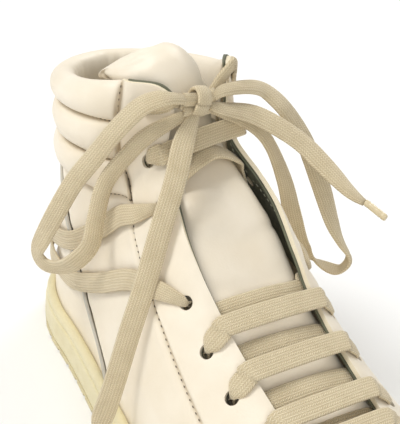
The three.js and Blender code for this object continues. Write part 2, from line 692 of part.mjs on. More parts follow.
// A bar of lace lies on both flaps and crosses the throat, with its ends gathered in the eyelets.
function addLaceBar(name, [station, height], edgeStation, slack) {
  const places = [-1, 1].map((side) => [0, 0.4, 0.8, 1].map((share) => [
    side * THREE.MathUtils.lerp(station, edgeStation, share), THREE.MathUtils.lerp(height, 1, share)]));
  const lift = [0.6, rideHeight + slack, rideHeight + slack, rideHeight + slack + 0.6];
  const half = (line) => line.map((place, index) => onSurface(place, lift[index]));
  const [lateral, medial] = places.map(half);
  const [lateralFaces, medialFaces] = places.map((line) => line.map(outwards));
  const middle = lateral[3].clone().add(medial[3]).multiplyScalar(0.5).add(new THREE.Vector3(0.6, 0, 1.2));
  const middleFace = lateralFaces[3].clone().add(medialFaces[3]).normalize();
  add(name, flatLace(
    [...lateral, middle, ...medial.reverse()],
    [...lateralFaces, middleFace, ...medialFaces.reverse()],
    [laceThroat, laceWidth, laceWidth, laceWidth, laceWidth, laceWidth, laceWidth, laceWidth, laceThroat],
    12,
  ), 'lace');
}

const crossDepth = leather + skinGap + facingHide + clearance + laceThickness / 2 + 0.15;

// The strand between two bars runs beneath both flaps; its ends lie behind the eyelets, the medial
// one at a station of its own, and the padded tongue lifts its middle.
function addLaceCross(name, [lateralStation, medialStation, endStation], lift) {
  const lateral = [[-lateralStation, 0.9], [-lateralStation, 0.98]];
  const medial = [[medialStation, 0.98], [endStation, 0.9]];
  const points = [...lateral, ...medial].map((place) => onSurface(place, -crossDepth));
  const faces = [...lateral, ...medial].map(outwards);
  const middleFace = faces[1].clone().add(faces[2]).normalize();
  const middle = points[1].clone().add(points[2]).multiplyScalar(0.5).addScaledVector(middleFace, lift);
  points.splice(2, 0, middle);
  faces.splice(2, 0, middleFace);
  add(name, flatLace(points, faces, [laceThroat, laceWidth, laceWidth, laceWidth, laceThroat], 8), 'lace');
}

// A band that leaves an eyelet, goes back around the ankle and is gathered under the heel loop.
function addAnkleWrap(name, route, heelHeight) {
  const half = (side) => mirror(route, side);
  const line = [...half(-1), [-1, heelHeight], [0, heelHeight], [1, heelHeight], ...half(1).reverse()];
  const last = line.length - 1;
  const lift = (index) => (index === 0 || index === last ? 1.3 : rideHeight + 0.7);
  const widths = line.map(([station], index) => {
    if (index === 0 || index === last) return laceThroat;
    return Math.abs(station) > 1 ? laceWidth : wrapNarrowing * laceWidth;
  });
  const points = line.map((place, index) => onSurface(place, lift(index)));
  add(name, flatLace(points, line.map(outwards), widths, 30), 'lace');
}

// ---------------------------------------------------------------- the bow
const bowCentre = fitted([99, -3.5, 161.5]);
const knotSize = new THREE.Vector3(4.5, 6, 6.5);
const bow = {
  loop_left: {
    face: [0.45, -1, 0.45],
    route: [[100, -13.5, 165.5], [100, -21.5, 166.5], [94, -28, 161], [87, -34, 149], [80, -39, 135], [73, -45, 120],
      [67, -50, 103], [60, -53, 87], [57, -54, 79], [60, -52, 73], [69, -48, 75], [81, -47, 85],
      [87, -43, 96], [85, -40, 107], [84, -36, 122], [89, -30, 136], [95, -23.5, 148], [99, -13.5, 155.5]],
  },
  loop_right: {
    face: [0.75, 0.35, 0.6],
    route: [[101, 6.5, 166.5], [100, 20, 165.5], [100, 29, 162], [105, 36, 155], [107, 44, 144], [108, 50, 134],
      [113, 56, 118], [120, 60, 103], [126, 62, 95], [131, 64, 89], [131, 63, 84], [126, 61, 79],
      [115, 58, 79], [108, 54, 84], [105, 49, 100], [104, 43, 118], [101, 35, 136], [100, 25, 146.5],
      [99, 8.5, 155.5]],
  },
  end_right: {
    face: [0.5, -0.35, 0.8],
    route: [[104, 4.5, 159.5], [107, 20, 155], [118, 34, 147], [130, 41, 139], [142, 45, 133], [150, 47, 131]],
  },
  end_left: {
    face: [0.75, -0.65, 0.3],
    route: [[104, -9.5, 154.5], [108, -15, 148.5], [115, -22, 136], [122, -31, 121], [128, -40, 101],
      [130, -47, 80], [129, -52, 55], [126, -55, 36], [124, -57, 27]],
  },
};

function addBow() {
  const knot = new THREE.SphereGeometry(1, 14, 10);
  knot.scale(knotSize.x, knotSize.y, knotSize.z).translate(bowCentre.x, bowCentre.y, bowCentre.z);
  add('bow_knot', knot, 'lace');
  for (const [name, { face, route: places }] of Object.entries(bow)) {
    const route = places.map(fitted);
    const ends = route.length - 1;
    const isLoop = name.startsWith('loop');
    const widths = route.map((_, index) => (index === 0 || index === ends ? laceThroat : laceWidth));
    if (!isLoop) widths[ends] = 2 * aglet.radius;
    const faces = route.map(() => new THREE.Vector3(...face).normalize());
    add(`bow_${name}`, flatLace(route, faces, widths, isLoop ? 30 : 16), 'lace');
    if (isLoop) continue;
    const tip = route[ends];
    const along = tip.clone().sub(route[ends - 1]).normalize();
    const sleeve = new THREE.CylinderGeometry(aglet.radius, aglet.radius, aglet.length, 12);
    sleeve.applyQuaternion(new THREE.Quaternion().setFromUnitVectors(new THREE.Vector3(0, 1, 0), along));
    const centre = tip.clone().addScaledVector(along, clearance + aglet.length / 2);
    add(`aglet_${name.slice(4)}`, sleeve.translate(centre.x, centre.y, centre.z), 'plastic');
  }
}

// The strand from the top eyelet to the knot.
function addLaceStrand(name, side) {
  const line = mirror([eyelets[0], [5.8, 0.965], [6.05, 1]], side);
  const lift = [1.3, rideHeight + 0.3, rideHeight + 0.5];
  const points = line.map((place, index) => onSurface(place, lift[index]));
  const knotSide = bowCentre.clone().add(new THREE.Vector3(-3, side * (knotSize.y + 0.8), -1));
  const faces = [...line.map(outwards), new THREE.Vector3(0.6, 0, 0.8)];
  add(name, flatLace([...points, knotSide], faces, [laceThroat, 7, 7, laceThroat], 8), 'lace');
}

function addLaces() {
  const bars = [[1, 7, topBarSlack], [4, eyelets[4][0], 0], [5, eyelets[5][0], 0], [6, eyelets[6][0], 0],
    [7, eyelets[7][0], 0]];
  bars.forEach(([eyelet, edge, slack], index) => addLaceBar(
    `lace_bar_${index + 1}`, eyelets[eyelet], edge, slack));
  const crosses = [
    { stations: [7.25, 7.3, 7.3], lift: 8.3 },
    { stations: [9, 9, 8.8], lift: 3 },
    { stations: [9.62, 9.66, 9.66], lift: 3 },
    { stations: [10.34, 10.38, 10.38], lift: 3 },
    { stations: [11.2, 11.2, 11.2], lift: 3 },
  ];
  crosses.forEach(({ stations, lift }, index) => addLaceCross(
    `lace_cross_${index + 1}`, stations, lift));
  for (const [name, side] of Object.entries(sides)) addLaceStrand(`lace_strand_${name}`, side);
  const [upper, lower] = [wrapMiddle + wrapSpread, wrapMiddle - wrapSpread];
  addAnkleWrap('ankle_wrap_upper', [eyelets[2], [6.8, 0.74], [5.9, 0.62], [5.1, 0.54], [3.9, 0.42],
    [2.7, upper + 0.061], [1.8, upper + 0.021]], upper);
  addAnkleWrap('ankle_wrap_lower', [eyelets[3], [8.1, 0.73], [7.3, 0.58], [5.5, 0.36], [3.9, 0.25],
    [2.7, lower + 0.004], [1.8, lower - 0.001]], lower);
}

// ---------------------------------------------------------------- assembly
addSole();
addHeelPanel();
for (const [name, side] of Object.entries(sides)) addSidePanels(name, side);
addFront();
addCollarRolls();
addHiddenLayers();
addTongue();
addHeelLoop();
addLaces();
addBow();

// The origin is on the ground under the middle of the shoe, measured without its free laces.
const loose = /^(bow_|aglet_)/;
const span = new THREE.Box3();
shoe.children.filter((mesh) => !loose.test(mesh.name)).forEach((mesh) => span.expandByObject(mesh));
const middle = span.getCenter(new THREE.Vector3());
shoe.children.forEach((mesh) => mesh.geometry.translate(-middle.x, -middle.y, -span.min.z));

export default shoe;
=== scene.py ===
import math

import bmesh
import bpy
import numpy as np
from mathutils import Matrix, Vector, noise


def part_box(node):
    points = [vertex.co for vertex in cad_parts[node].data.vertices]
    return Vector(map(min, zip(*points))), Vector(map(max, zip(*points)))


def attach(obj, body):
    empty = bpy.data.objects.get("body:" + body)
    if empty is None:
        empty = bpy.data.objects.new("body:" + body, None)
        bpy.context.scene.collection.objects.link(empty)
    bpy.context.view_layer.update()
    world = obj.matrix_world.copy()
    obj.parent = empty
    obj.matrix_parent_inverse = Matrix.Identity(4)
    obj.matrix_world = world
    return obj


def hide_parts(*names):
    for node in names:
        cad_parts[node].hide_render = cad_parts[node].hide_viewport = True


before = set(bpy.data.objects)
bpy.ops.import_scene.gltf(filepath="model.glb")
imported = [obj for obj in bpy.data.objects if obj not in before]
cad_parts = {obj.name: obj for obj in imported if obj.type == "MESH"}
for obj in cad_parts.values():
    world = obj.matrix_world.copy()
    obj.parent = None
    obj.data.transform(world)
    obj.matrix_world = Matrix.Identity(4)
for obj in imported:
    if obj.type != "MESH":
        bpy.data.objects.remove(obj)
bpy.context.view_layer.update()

# Shapes are worked out in millimetres in the pattern's own frame, which starts at the heel and
# below the ground. The shank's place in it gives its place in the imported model.
metre = 1000.0
groundLevel = 11.0
shankMiddle = 100
shankLow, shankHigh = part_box("shank")
patternOrigin = np.array([shankMiddle - metre / 2 * (shankLow.x + shankHigh.x),
                          -metre / 2 * (shankLow.y + shankHigh.y), groundLevel])


def toFrame(points):
    return (np.asarray(points, float) - patternOrigin) * 0.001


print("frame loaded, pattern origin", patternOrigin.round(2).tolist())

# Camera

view = {"azimuth": 55.2, "elevation": 29.8, "roll": 6.0, "distance": 449.2, "target": (90, 8.8, 102.5),
        "lens": 86.7}


def addCamera():
    azimuth, elevation, roll = (math.radians(view[key]) for key in ("azimuth", "elevation", "roll"))
    back = Vector((math.sin(azimuth) * math.cos(elevation), -math.cos(azimuth) * math.cos(elevation),
                   math.sin(elevation)))
    right = Vector((math.cos(azimuth), math.sin(azimuth), 0))
    up = back.cross(right)
    turnedRight = right * math.cos(roll) + up * math.sin(roll)
    turnedUp = up * math.cos(roll) - right * math.sin(roll)
    data = bpy.data.cameras.new("camera")
    data.lens = view["lens"]
    data.sensor_width = 36
    data.clip_start = 0.01
    camera = bpy.data.objects.new("camera", data)
    bpy.context.scene.collection.objects.link(camera)
    turn = Matrix((turnedRight, turnedUp, back)).transposed().to_4x4()
    camera.matrix_world = Matrix.Translation(Vector(toFrame(view["target"])) + back * view["distance"]
                                             * 0.001) @ turn
    bpy.context.scene.camera = camera


addCamera()

# The surface of the upper: columns from the heel to the toe, each a Bezier curve from the sole up.

net = np.array([
    [[3, 0, 27], [-4, 0, 68], [15, 0, 106], [5, 0, 147]],
    [[8, 16, 27], [2, 17, 68], [19, 14, 106], [10, 17, 147.5]],
    [[20, 26, 27], [16, 28, 68], [28, 23, 106], [21, 28, 149]],
    [[38, 31, 27], [36, 34, 68], [42, 29, 106], [38, 35, 152]],
    [[57, 32.5, 27], [56, 36, 68], [57, 31, 108], [58, 35, 155.5]],
    [[75, 34.5, 27], [75, 37, 68], [73, 32, 110], [77, 27, 159]],
    [[92, 37, 27], [92, 39, 68], [87, 32, 114], [94, 13, 162]],
    [[110, 39.5, 27], [110, 41, 64], [100, 36, 105], [98, 15.4, 139]],
    [[131, 42.5, 27], [131, 44, 60], [126, 40, 98], [125, 22.7, 121]],
    [[156, 46, 27], [156, 48, 52], [154, 42, 84], [153, 22, 100.6]],
    [[184, 49, 27], [184, 51, 48], [182, 42, 72], [179, 21, 87]],
    [[215, 50.5, 27], [216, 53, 44], [210, 42, 64], [203, 20, 78]],
    [[242, 47, 27], [244, 49, 44], [234, 36, 63], [214, 17, 75]],
    [[265, 38.5, 27], [267, 40, 45], [251, 27, 62], [221, 12.5, 73.5]],
    [[282, 26, 27], [284, 27, 46], [264, 19, 62], [226, 8, 73]],
    [[291, 13, 27], [293, 13.5, 47], [270, 10, 62], [229, 4, 72.5]],
    [[294, 0, 27], [297, 0, 47], [272, 0, 62], [230, 0, 72.5]],
], float)
mirrorY = np.array([1, -1, 1.0])
netPadded = np.concatenate([net[1:2] * mirrorY, net, net[-2:-1] * mirrorY])
toeColumn = len(net) - 1
lap = 2 * toeColumn
upper = {"length": 291, "feather": 27, "lasting": 21, "flapRise": 11.4,
         "flapShares": {5: 0.26, 6: 1, 7: 0.61, 8: 0.31}}
leatherThick = 1.8
skinGap = 0.7


def smoothStep(value, low, high):
    t = np.clip((np.asarray(value, float) - low) / (high - low), 0, 1)
    return t * t * (3 - 2 * t)


def bell(value, width):
    return np.exp(-((np.asarray(value, float) / width) ** 2))


def catmullRom(a, b, c, d, t):
    return 0.5 * (2 * b + (c - a) * t + (2 * a - 5 * b + 4 * c - d) * t ** 2 + (3 * b - a - 3 * c + d)
                  * t ** 3)


def surfacePoint(station, height):
    station, height = np.broadcast_arrays(np.asarray(station, float), np.asarray(height, float))
    turn = np.where(station > toeColumn, station - lap, station)
    side = np.where(turn < 0, -1.0, 1.0)
    along = np.abs(turn)
    first = np.minimum(np.floor(along), toeColumn - 1).astype(int)
    t = (along - first)[..., None, None]
    handles = catmullRom(*[netPadded[first + step] for step in range(4)], t)
    down = 1 - height
    weights = np.stack([down ** 3, 3 * down ** 2 * height, 3 * down * height ** 2, height ** 3], -1)
    point = (handles * weights[..., None]).sum(-2)
    share = point[..., 0] / upper["length"]
    medial = side > 0
    rise = sum(upper["flapRise"] * part * np.maximum(0, 1 - np.abs(along - column))
               for column, part in upper["flapShares"].items())
    point[..., 2] += np.where(medial, rise * np.maximum(0, 2 * height - 1) ** 1.5, 0)
    waist = 0.07 * bell(share - 0.395, 0.137) * down
    ball = 0.04 * bell(share - 0.808, 0.137)
    point[..., 1] *= np.where(medial, 1 - waist + ball, 1)
    point[..., 1] = point[..., 1] * side + 6 * smoothStep(share, 0.74, 1.01)
    return point


def unit(vectors):
    return vectors / np.maximum(np.linalg.norm(vectors, axis=-1, keepdims=True), 1e-9)


def surfaceNormal(station, height):
    station, height = np.asarray(station, float), np.asarray(height, float)
    across = surfacePoint(station + 0.01, height) - surfacePoint(station - 0.01, height)
    rise = surfacePoint(station, height + 0.01) - surfacePoint(station, height - 0.01)
    return unit(np.cross(rise, across))


def onSurface(place, offset):
    place = np.asarray(place, float)
    offset = np.asarray(offset, float)[..., None]
    return surfacePoint(place[..., 0], place[..., 1]) + surfaceNormal(place[..., 0], place[..., 1]) * offset


def heightAtLevel(station, level):
    rate = (surfacePoint(station, 0.01)[..., 2] - surfacePoint(station, 0)[..., 2]) / 0.01
    return (level - upper["feather"]) / rate


def spline(points, t):
    points = np.asarray(points, float)
    last = len(points) - 1
    place = np.clip(t, 0, 1) * last
    first = np.minimum(place.astype(int), last - 1)
    mix = (place - first)[..., None]
    if last == 1:
        return points[first] * (1 - mix) + points[first + 1] * mix
    picks = [np.clip(first + step, 0, last) for step in (-1, 0, 1, 2)]
    return catmullRom(*[points[pick] for pick in picks], mix)


def broken(points, t):
    points = np.asarray(points, float)
    place = np.clip(t, 0, 1) * (len(points) - 1)
    first = np.minimum(place.astype(int), len(points) - 2)
    mix = (place - first)[..., None]
    return points[first] * (1 - mix) + points[first + 1] * mix


def lengthOf(points):
    return float(np.linalg.norm(np.diff(np.asarray(points), axis=0), axis=1).sum())


def noiseAt(points, size, seed=0.0):
    flat = np.asarray(points, float).reshape(-1, 3) / size + seed
    values = np.array([noise.noise(Vector(point)) for point in flat])
    return values.reshape(np.asarray(points).shape[:-1])


# Helpers for meshes

def addObject(bm, name, materials=()):
    mesh = bpy.data.meshes.new(name)
    bm.to_mesh(mesh)
    bm.free()
    made = bpy.data.objects.new(name, mesh)
    bpy.context.scene.collection.objects.link(made)
    for material in materials:
        mesh.materials.append(material)
    return made


def finishMesh(bm, name, body, slotName, *materials):
    made = addObject(bm, name, materials)
    for face in made.data.polygons:
        face.use_smooth = True
    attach(made, body)
    return made


def gridOf(points, uvs=None, weldAround=False, weldAlong=False, attributes=None):
    # A grid of faces carried onto points[column][row], with its own UVs in millimetres.
    columns, rows = points.shape[0] - 1, points.shape[1] - 1
    bm = bmesh.new()
    bmesh.ops.create_grid(bm, x_segments=columns, y_segments=rows, size=0.5)
    layers = {key: bm.verts.layers.float.new(key) for key in (attributes or {})}
    uvLayer = bm.loops.layers.uv.new("UVMap") if uvs is not None else None
    places = {}
    for vert in bm.verts:
        cell = (round((vert.co.x + 0.5) * columns), round((vert.co.y + 0.5) * rows))
        places[vert] = cell
        for key, values in (attributes or {}).items():
            vert[layers[key]] = values[cell]
        vert.co = points[cell]
    if uvs is not None:
        for face in bm.faces:
            for loop in face.loops:
                loop[uvLayer].uv = uvs[places[loop.vert]]
    if weldAround:
        ends = [vert for vert, cell in places.items() if cell[0] in (0, columns)]
        bmesh.ops.remove_doubles(bm, verts=ends, dist=1e-7)
    if weldAlong:
        ends = [vert for vert, cell in places.items() if vert.is_valid and cell[1] in (0, rows)]
        bmesh.ops.remove_doubles(bm, verts=ends, dist=1e-7)
    return bm


def closeAndTurnOut(bm):
    rim = [edge for edge in bm.edges if edge.is_boundary]
    if rim:
        bmesh.ops.holes_fill(bm, edges=rim, sides=0)
    bmesh.ops.recalc_face_normals(bm, faces=bm.faces)


def applyModifiers(made):
    evaluated = made.evaluated_get(bpy.context.evaluated_depsgraph_get())
    mesh = bpy.data.meshes.new_from_object(evaluated)
    made.modifiers.clear()
    old, made.data = made.data, mesh
    bpy.data.meshes.remove(old)


def addSolidify(made, thickness, rim=0, offset=-1):
    wall = made.modifiers.new("wall", "SOLIDIFY")
    wall.thickness = thickness * 0.001
    wall.offset = offset
    wall.material_offset_rim = rim
    wall.use_quality_normals = True


def addBevel(made, width, segments=2, angle=50):
    bevel = made.modifiers.new("edges", "BEVEL")
    bevel.width = width * 0.001
    bevel.segments = segments
    bevel.limit_method = "ANGLE"
    bevel.angle_limit = math.radians(angle)
    bevel.profile = 0.5


# Helpers for materials

def addNode(tree, kind, inputs=None, **settings):
    # Inputs are linked when they are another node's output, and set when they are values.
    made = tree.nodes.new(kind)
    for key, value in settings.items():
        setattr(made, key, value)
    for key, value in (inputs or {}).items():
        if isinstance(value, bpy.types.NodeSocket):
            tree.links.new(value, made.inputs[key])
        else:
            made.inputs[key].default_value = value
    return made


def calc(tree, operation, *values, clamp=False):
    made = addNode(tree, "ShaderNodeMath", dict(enumerate(values)), operation=operation, use_clamp=clamp)
    return made.outputs[0]


def newGroup(name, inputs, outputs):
    tree = bpy.data.node_groups.new(name, "ShaderNodeTree")
    kinds = {"vector": "NodeSocketVector", "value": "NodeSocketFloat", "colour": "NodeSocketColor"}
    for label, (kind, default) in inputs.items():
        socket = tree.interface.new_socket(name=label, in_out="INPUT", socket_type=kinds[kind])
        if kind != "vector":
            socket.default_value = default
    for label, kind in outputs.items():
        tree.interface.new_socket(name=label, in_out="OUTPUT", socket_type=kinds[kind])
    return tree, tree.nodes.new("NodeGroupInput").outputs, tree.nodes.new("NodeGroupOutput").inputs


def placeGroup(tree, group, inputs):
    return addNode(tree, "ShaderNodeGroup", inputs, node_tree=group).outputs


def rgb(red, green, blue):
    # Display values from 0 to 255 as a linear colour.
    parts = [value / 255 for value in (red, green, blue)]
    return tuple(part / 12.92 if part <= 0.04045 else ((part + 0.055) / 1.055) ** 2.4
                 for part in parts) + (1.0,)


def newMaterial(name, **surface):
    material = bpy.data.materials.new(name)
    material.use_nodes = True
    tree = material.node_tree
    shader = tree.nodes["Principled BSDF"]
    for key, value in surface.items():
        shader.inputs[key].default_value = value
    return material, tree, shader


def mixColour(tree, factor, low, high):
    # The Mix node's colour sockets are inputs 6 and 7 and output 2.
    return addNode(tree, "ShaderNodeMix", {0: factor, 6: low, 7: high}, data_type="RGBA").outputs[2]


def objectPoint(tree):
    return addNode(tree, "ShaderNodeTexCoord").outputs["Object"]


def bumpTo(tree, shader, height, distance):
    bump = addNode(tree, "ShaderNodeBump", {"Height": height, "Distance": distance, "Strength": 1.0})
    tree.links.new(bump.outputs["Normal"], shader.inputs["Normal"])


# Grain: closed pebbles with fine pores, in metres of the object's own space.
grainGroup, given, gives = newGroup("leatherGrain", {"Point": ("vector", None), "Pebble": ("value", 900.0)},
                                    {"Height": "value", "Tone": "value"})
cells = addNode(grainGroup, "ShaderNodeTexVoronoi", {"Vector": given["Point"], "Scale": given["Pebble"]},
                feature="SMOOTH_F1")
finer = calc(grainGroup, "MULTIPLY", given["Pebble"], 2.7)
pores = addNode(grainGroup, "ShaderNodeTexNoise", {"Vector": given["Point"], "Scale": finer, "Detail": 3.0,
                                                   "Roughness": 0.6})
broad = addNode(grainGroup, "ShaderNodeTexNoise", {"Vector": given["Point"], "Scale": 42.0, "Detail": 4.0,
                                                   "Roughness": 0.55})
pebbleHeight = calc(grainGroup, "MULTIPLY", cells.outputs["Distance"], 0.6)
grainGroup.links.new(calc(grainGroup, "ADD", pebbleHeight,
                          calc(grainGroup, "MULTIPLY", pores.outputs["Fac"], 0.4)), gives["Height"])
grainGroup.links.new(broad.outputs["Fac"], gives["Tone"])

# Braid: columns of slanting yarns, turned the other way in every second column. Its second output is
# painted shade for the hollows between the yarns.
braidGroup, given, gives = newGroup("flatBraid", {"Place": ("vector", None), "Yarn": ("value", 1.0)},
                                    {"Height": "value", "GrooveShade": "value"})
parts = addNode(braidGroup, "ShaderNodeSeparateXYZ", {"Vector": given["Place"]})
across = calc(braidGroup, "DIVIDE", parts.outputs["X"], given["Yarn"])
along = calc(braidGroup, "DIVIDE", parts.outputs["Y"], given["Yarn"])
column = calc(braidGroup, "FLOOR", across)
withinColumn = calc(braidGroup, "SUBTRACT", calc(braidGroup, "FRACT", across), 0.5)
turn = calc(braidGroup, "SUBTRACT",
            calc(braidGroup, "MULTIPLY", calc(braidGroup, "FLOORED_MODULO", column, 2.0), 2.0), 1.0)
slanted = calc(braidGroup, "ADD", along,
               calc(braidGroup, "MULTIPLY", withinColumn, calc(braidGroup, "MULTIPLY", turn, 1.1)))
yarnWave = calc(braidGroup, "SINE", calc(braidGroup, "MULTIPLY", slanted, 2 * math.pi))
columnRound = calc(braidGroup, "SUBTRACT", 1.0,
                   calc(braidGroup, "MULTIPLY",
                        calc(braidGroup, "POWER", calc(braidGroup, "ABSOLUTE", withinColumn), 2.0), 3.4))
braidHeight = calc(braidGroup, "MULTIPLY", columnRound,
                   calc(braidGroup, "ADD", 0.62, calc(braidGroup, "MULTIPLY", yarnWave, 0.38)))
braidGroup.links.new(braidHeight, gives["Height"])
braidGroup.links.new(calc(braidGroup, "SUBTRACT", 1.0, braidHeight, clamp=True), gives["GrooveShade"])

# Rub: broken patches where handling lightens or dulls a surface.
rubGroup, given, gives = newGroup("handRub", {"Point": ("vector", None), "Size": ("value", 60.0),
                                              "Amount": ("value", 0.5)}, {"Mask": "value"})
patches = addNode(rubGroup, "ShaderNodeTexNoise",
                  {"Vector": given["Point"], "Scale": given["Size"], "Detail": 6.0, "Roughness": 0.62})
lifted = addNode(rubGroup, "ShaderNodeMapRange",
                 {"Value": patches.outputs["Fac"], "From Min": 0.42, "From Max": 0.72})
rubGroup.links.new(calc(rubGroup, "MULTIPLY", lifted.outputs["Result"], given["Amount"], clamp=True),
                   gives["Mask"])


def leatherMaterial(name, light, dark, seamShadeColour, roughness, pebble, depth):
    material, tree, shader = newMaterial(name, **{"Specular IOR Level": 0.42, "Sheen Weight": 0.06,
                                                  "Sheen Roughness": 0.5})
    point = objectPoint(tree)
    grain = placeGroup(tree, grainGroup, {"Point": point, "Pebble": pebble})
    rub = placeGroup(tree, rubGroup, {"Point": point, "Size": 85.0, "Amount": 0.6})
    # This attribute is painted shade: it darkens the colour towards the seams, where shade falls, and also
    # roughens the surface there.
    seamShade = addNode(tree, "ShaderNodeAttribute", attribute_name="seamShade").outputs["Fac"]
    tone = addNode(tree, "ShaderNodeMapRange",
                   {"Value": grain["Tone"], "From Min": 0.3, "From Max": 0.7}).outputs["Result"]
    colour = mixColour(tree, tone, dark, light)
    colour = mixColour(tree, calc(tree, "MULTIPLY", seamShade, 0.55), colour, seamShadeColour)
    tree.links.new(colour, shader.inputs["Base Color"])
    rough = calc(tree, "ADD", roughness, calc(tree, "MULTIPLY", rub["Mask"], 0.14))
    tree.links.new(calc(tree, "ADD", rough, calc(tree, "MULTIPLY", seamShade, 0.1)), shader.inputs["Roughness"])
    bumpTo(tree, shader, grain["Height"], depth)
    return material


def braidMaterial(name, light, dark, yarn, depth):
    material, tree, shader = newMaterial(name, **{"Roughness": 0.88, "Specular IOR Level": 0.25,
                                                  "Sheen Weight": 0.25, "Sheen Roughness": 0.45})
    place = addNode(tree, "ShaderNodeUVMap").outputs["UV"]
    braid = placeGroup(tree, braidGroup, {"Place": place, "Yarn": yarn})
    rub = placeGroup(tree, rubGroup, {"Point": objectPoint(tree), "Size": 150.0, "Amount": 0.8})
    fuzz = addNode(tree, "ShaderNodeTexNoise",
                   {"Vector": objectPoint(tree), "Scale": 2600.0, "Detail": 2.0}).outputs["Fac"]
    # The grooves between the yarns get painted shade, mixed towards the dark colour; the rubbed patches
    # after it darken the braid as wear.
    colour = mixColour(tree, calc(tree, "MULTIPLY", braid["GrooveShade"], 0.85), light, dark)
    colour = mixColour(tree, calc(tree, "MULTIPLY", rub["Mask"], 0.35), colour, dark)
    tree.links.new(colour, shader.inputs["Base Color"])
    tree.links.new(calc(tree, "ADD", 0.82, calc(tree, "MULTIPLY", fuzz, 0.14)), shader.inputs["Roughness"])
    bumpTo(tree, shader, calc(tree, "ADD", braid["Height"], calc(tree, "MULTIPLY", fuzz, 0.3)), depth)
    return material


def rubberMaterial(name, light, dark, roughness, speckle):
    material, tree, shader = newMaterial(name, **{"Specular IOR Level": 0.45})
    point = objectPoint(tree)
    rub = placeGroup(tree, rubGroup, {"Point": point, "Size": 110.0, "Amount": 0.9})
    specks = addNode(tree, "ShaderNodeTexNoise",
                     {"Vector": point, "Scale": speckle, "Detail": 4.0, "Roughness": 0.7}).outputs["Fac"]
    colour = mixColour(tree, calc(tree, "MULTIPLY", rub["Mask"], 0.6), light, dark)
    tree.links.new(colour, shader.inputs["Base Color"])
    tree.links.new(calc(tree, "ADD", roughness, calc(tree, "MULTIPLY", rub["Mask"], 0.12)),
                   shader.inputs["Roughness"])
    bumpTo(tree, shader, specks, 0.00008)
    return material


def plainMaterial(name, light, dark, roughness, size, depth, **surface):
    material, tree, shader = newMaterial(name, **surface)
    point = objectPoint(tree)
    mottle = addNode(tree, "ShaderNodeTexNoise",
                     {"Vector": point, "Scale": size, "Detail": 5.0, "Roughness": 0.6}).outputs["Fac"]
    tree.links.new(mixColour(tree, mottle, dark, light), shader.inputs["Base Color"])
    tree.links.new(calc(tree, "ADD", roughness - 0.08, calc(tree, "MULTIPLY", mottle, 0.16)),
                   shader.inputs["Roughness"])
    bumpTo(tree, shader, mottle, depth)
    return material


# In the leather finishes the third colour is the painted shade laid along their seams.
finish = {
    "leather": leatherMaterial("creamLeather", rgb(241, 231, 212), rgb(233, 221, 198), rgb(186, 166, 132),
                               0.42, 1100.0, 0.00005),
    "rawEdge": plainMaterial("cutEdge", rgb(240, 230, 205), rgb(222, 208, 176), 0.85, 1500.0, 0.0001),
    "lining": leatherMaterial("liningLeather", rgb(236, 226, 204), rgb(222, 210, 184), rgb(180, 165, 135),
                              0.6, 1400.0, 0.00004),
    "facing": leatherMaterial("oliveFacing", rgb(112, 113, 90), rgb(86, 88, 70), rgb(60, 60, 48), 0.62,
                              1300.0, 0.00005),
    "lace": braidMaterial("braidedCotton", rgb(236, 223, 192), rgb(186, 166, 128), 1.15, 0.00028),
    "webbing": braidMaterial("redWebbing", rgb(196, 66, 44), rgb(140, 36, 24), 0.9, 0.0002),
    "rubber": rubberMaterial("cupRubber", rgb(224, 214, 176), rgb(212, 200, 158), 0.42, 900.0),
    "tread": rubberMaterial("treadRubber", rgb(214, 202, 162), rgb(190, 176, 134), 0.6, 700.0),
    "stripe": leatherMaterial("silverGreyPiping", rgb(202, 197, 184), rgb(182, 176, 162),
                              rgb(132, 124, 108), 0.34, 900.0, 0.00004),
    "thread": plainMaterial("darkThread", rgb(92, 82, 66), rgb(58, 50, 40), 0.7, 2000.0, 0.00005),
    "paleThread": plainMaterial("greyThread", rgb(178, 178, 158), rgb(138, 138, 118), 0.7, 2000.0, 0.00005),
    "aglet": plainMaterial("laceTip", rgb(226, 212, 178), rgb(200, 182, 142), 0.3, 600.0, 0.00003,
                           **{"Coat Weight": 0.5, "Coat Roughness": 0.15}),
    "foam": plainMaterial("insoleFoam", rgb(226, 219, 202), rgb(204, 196, 176), 0.9, 900.0, 0.0001),
    "board": plainMaterial("fibreBoard", rgb(196, 168, 120), rgb(168, 140, 96), 0.88, 400.0, 0.0001),
    "steel": plainMaterial("shankSteel", rgb(176, 178, 180), rgb(140, 142, 146), 0.36, 260.0, 0.00002,
                           Metallic=1.0),
    "stiffener": plainMaterial("stiffenerSheet", rgb(226, 224, 214), rgb(204, 202, 190), 0.5, 300.0,
                               0.00004),
}
print("materials made")

# Laces

lace = {"width": 9.0, "thickness": 1.6, "throat": 4.4, "pinch": 3.6, "tuck": -3.4, "spacing": 1.5,
        "around": 18, "clearance": 0.3}
facingThick = 1.0
rideHeight = lace["thickness"] / 2 + 0.55
eyelets = [[5.5, 0.95], [6.15, 0.82], [7.35, 0.88], [8.6, 0.85], [9.25, 0.84], [9.95, 0.84], [10.75, 0.84],
           [11.7, 0.85]]
shoeBody = "shoe_body"


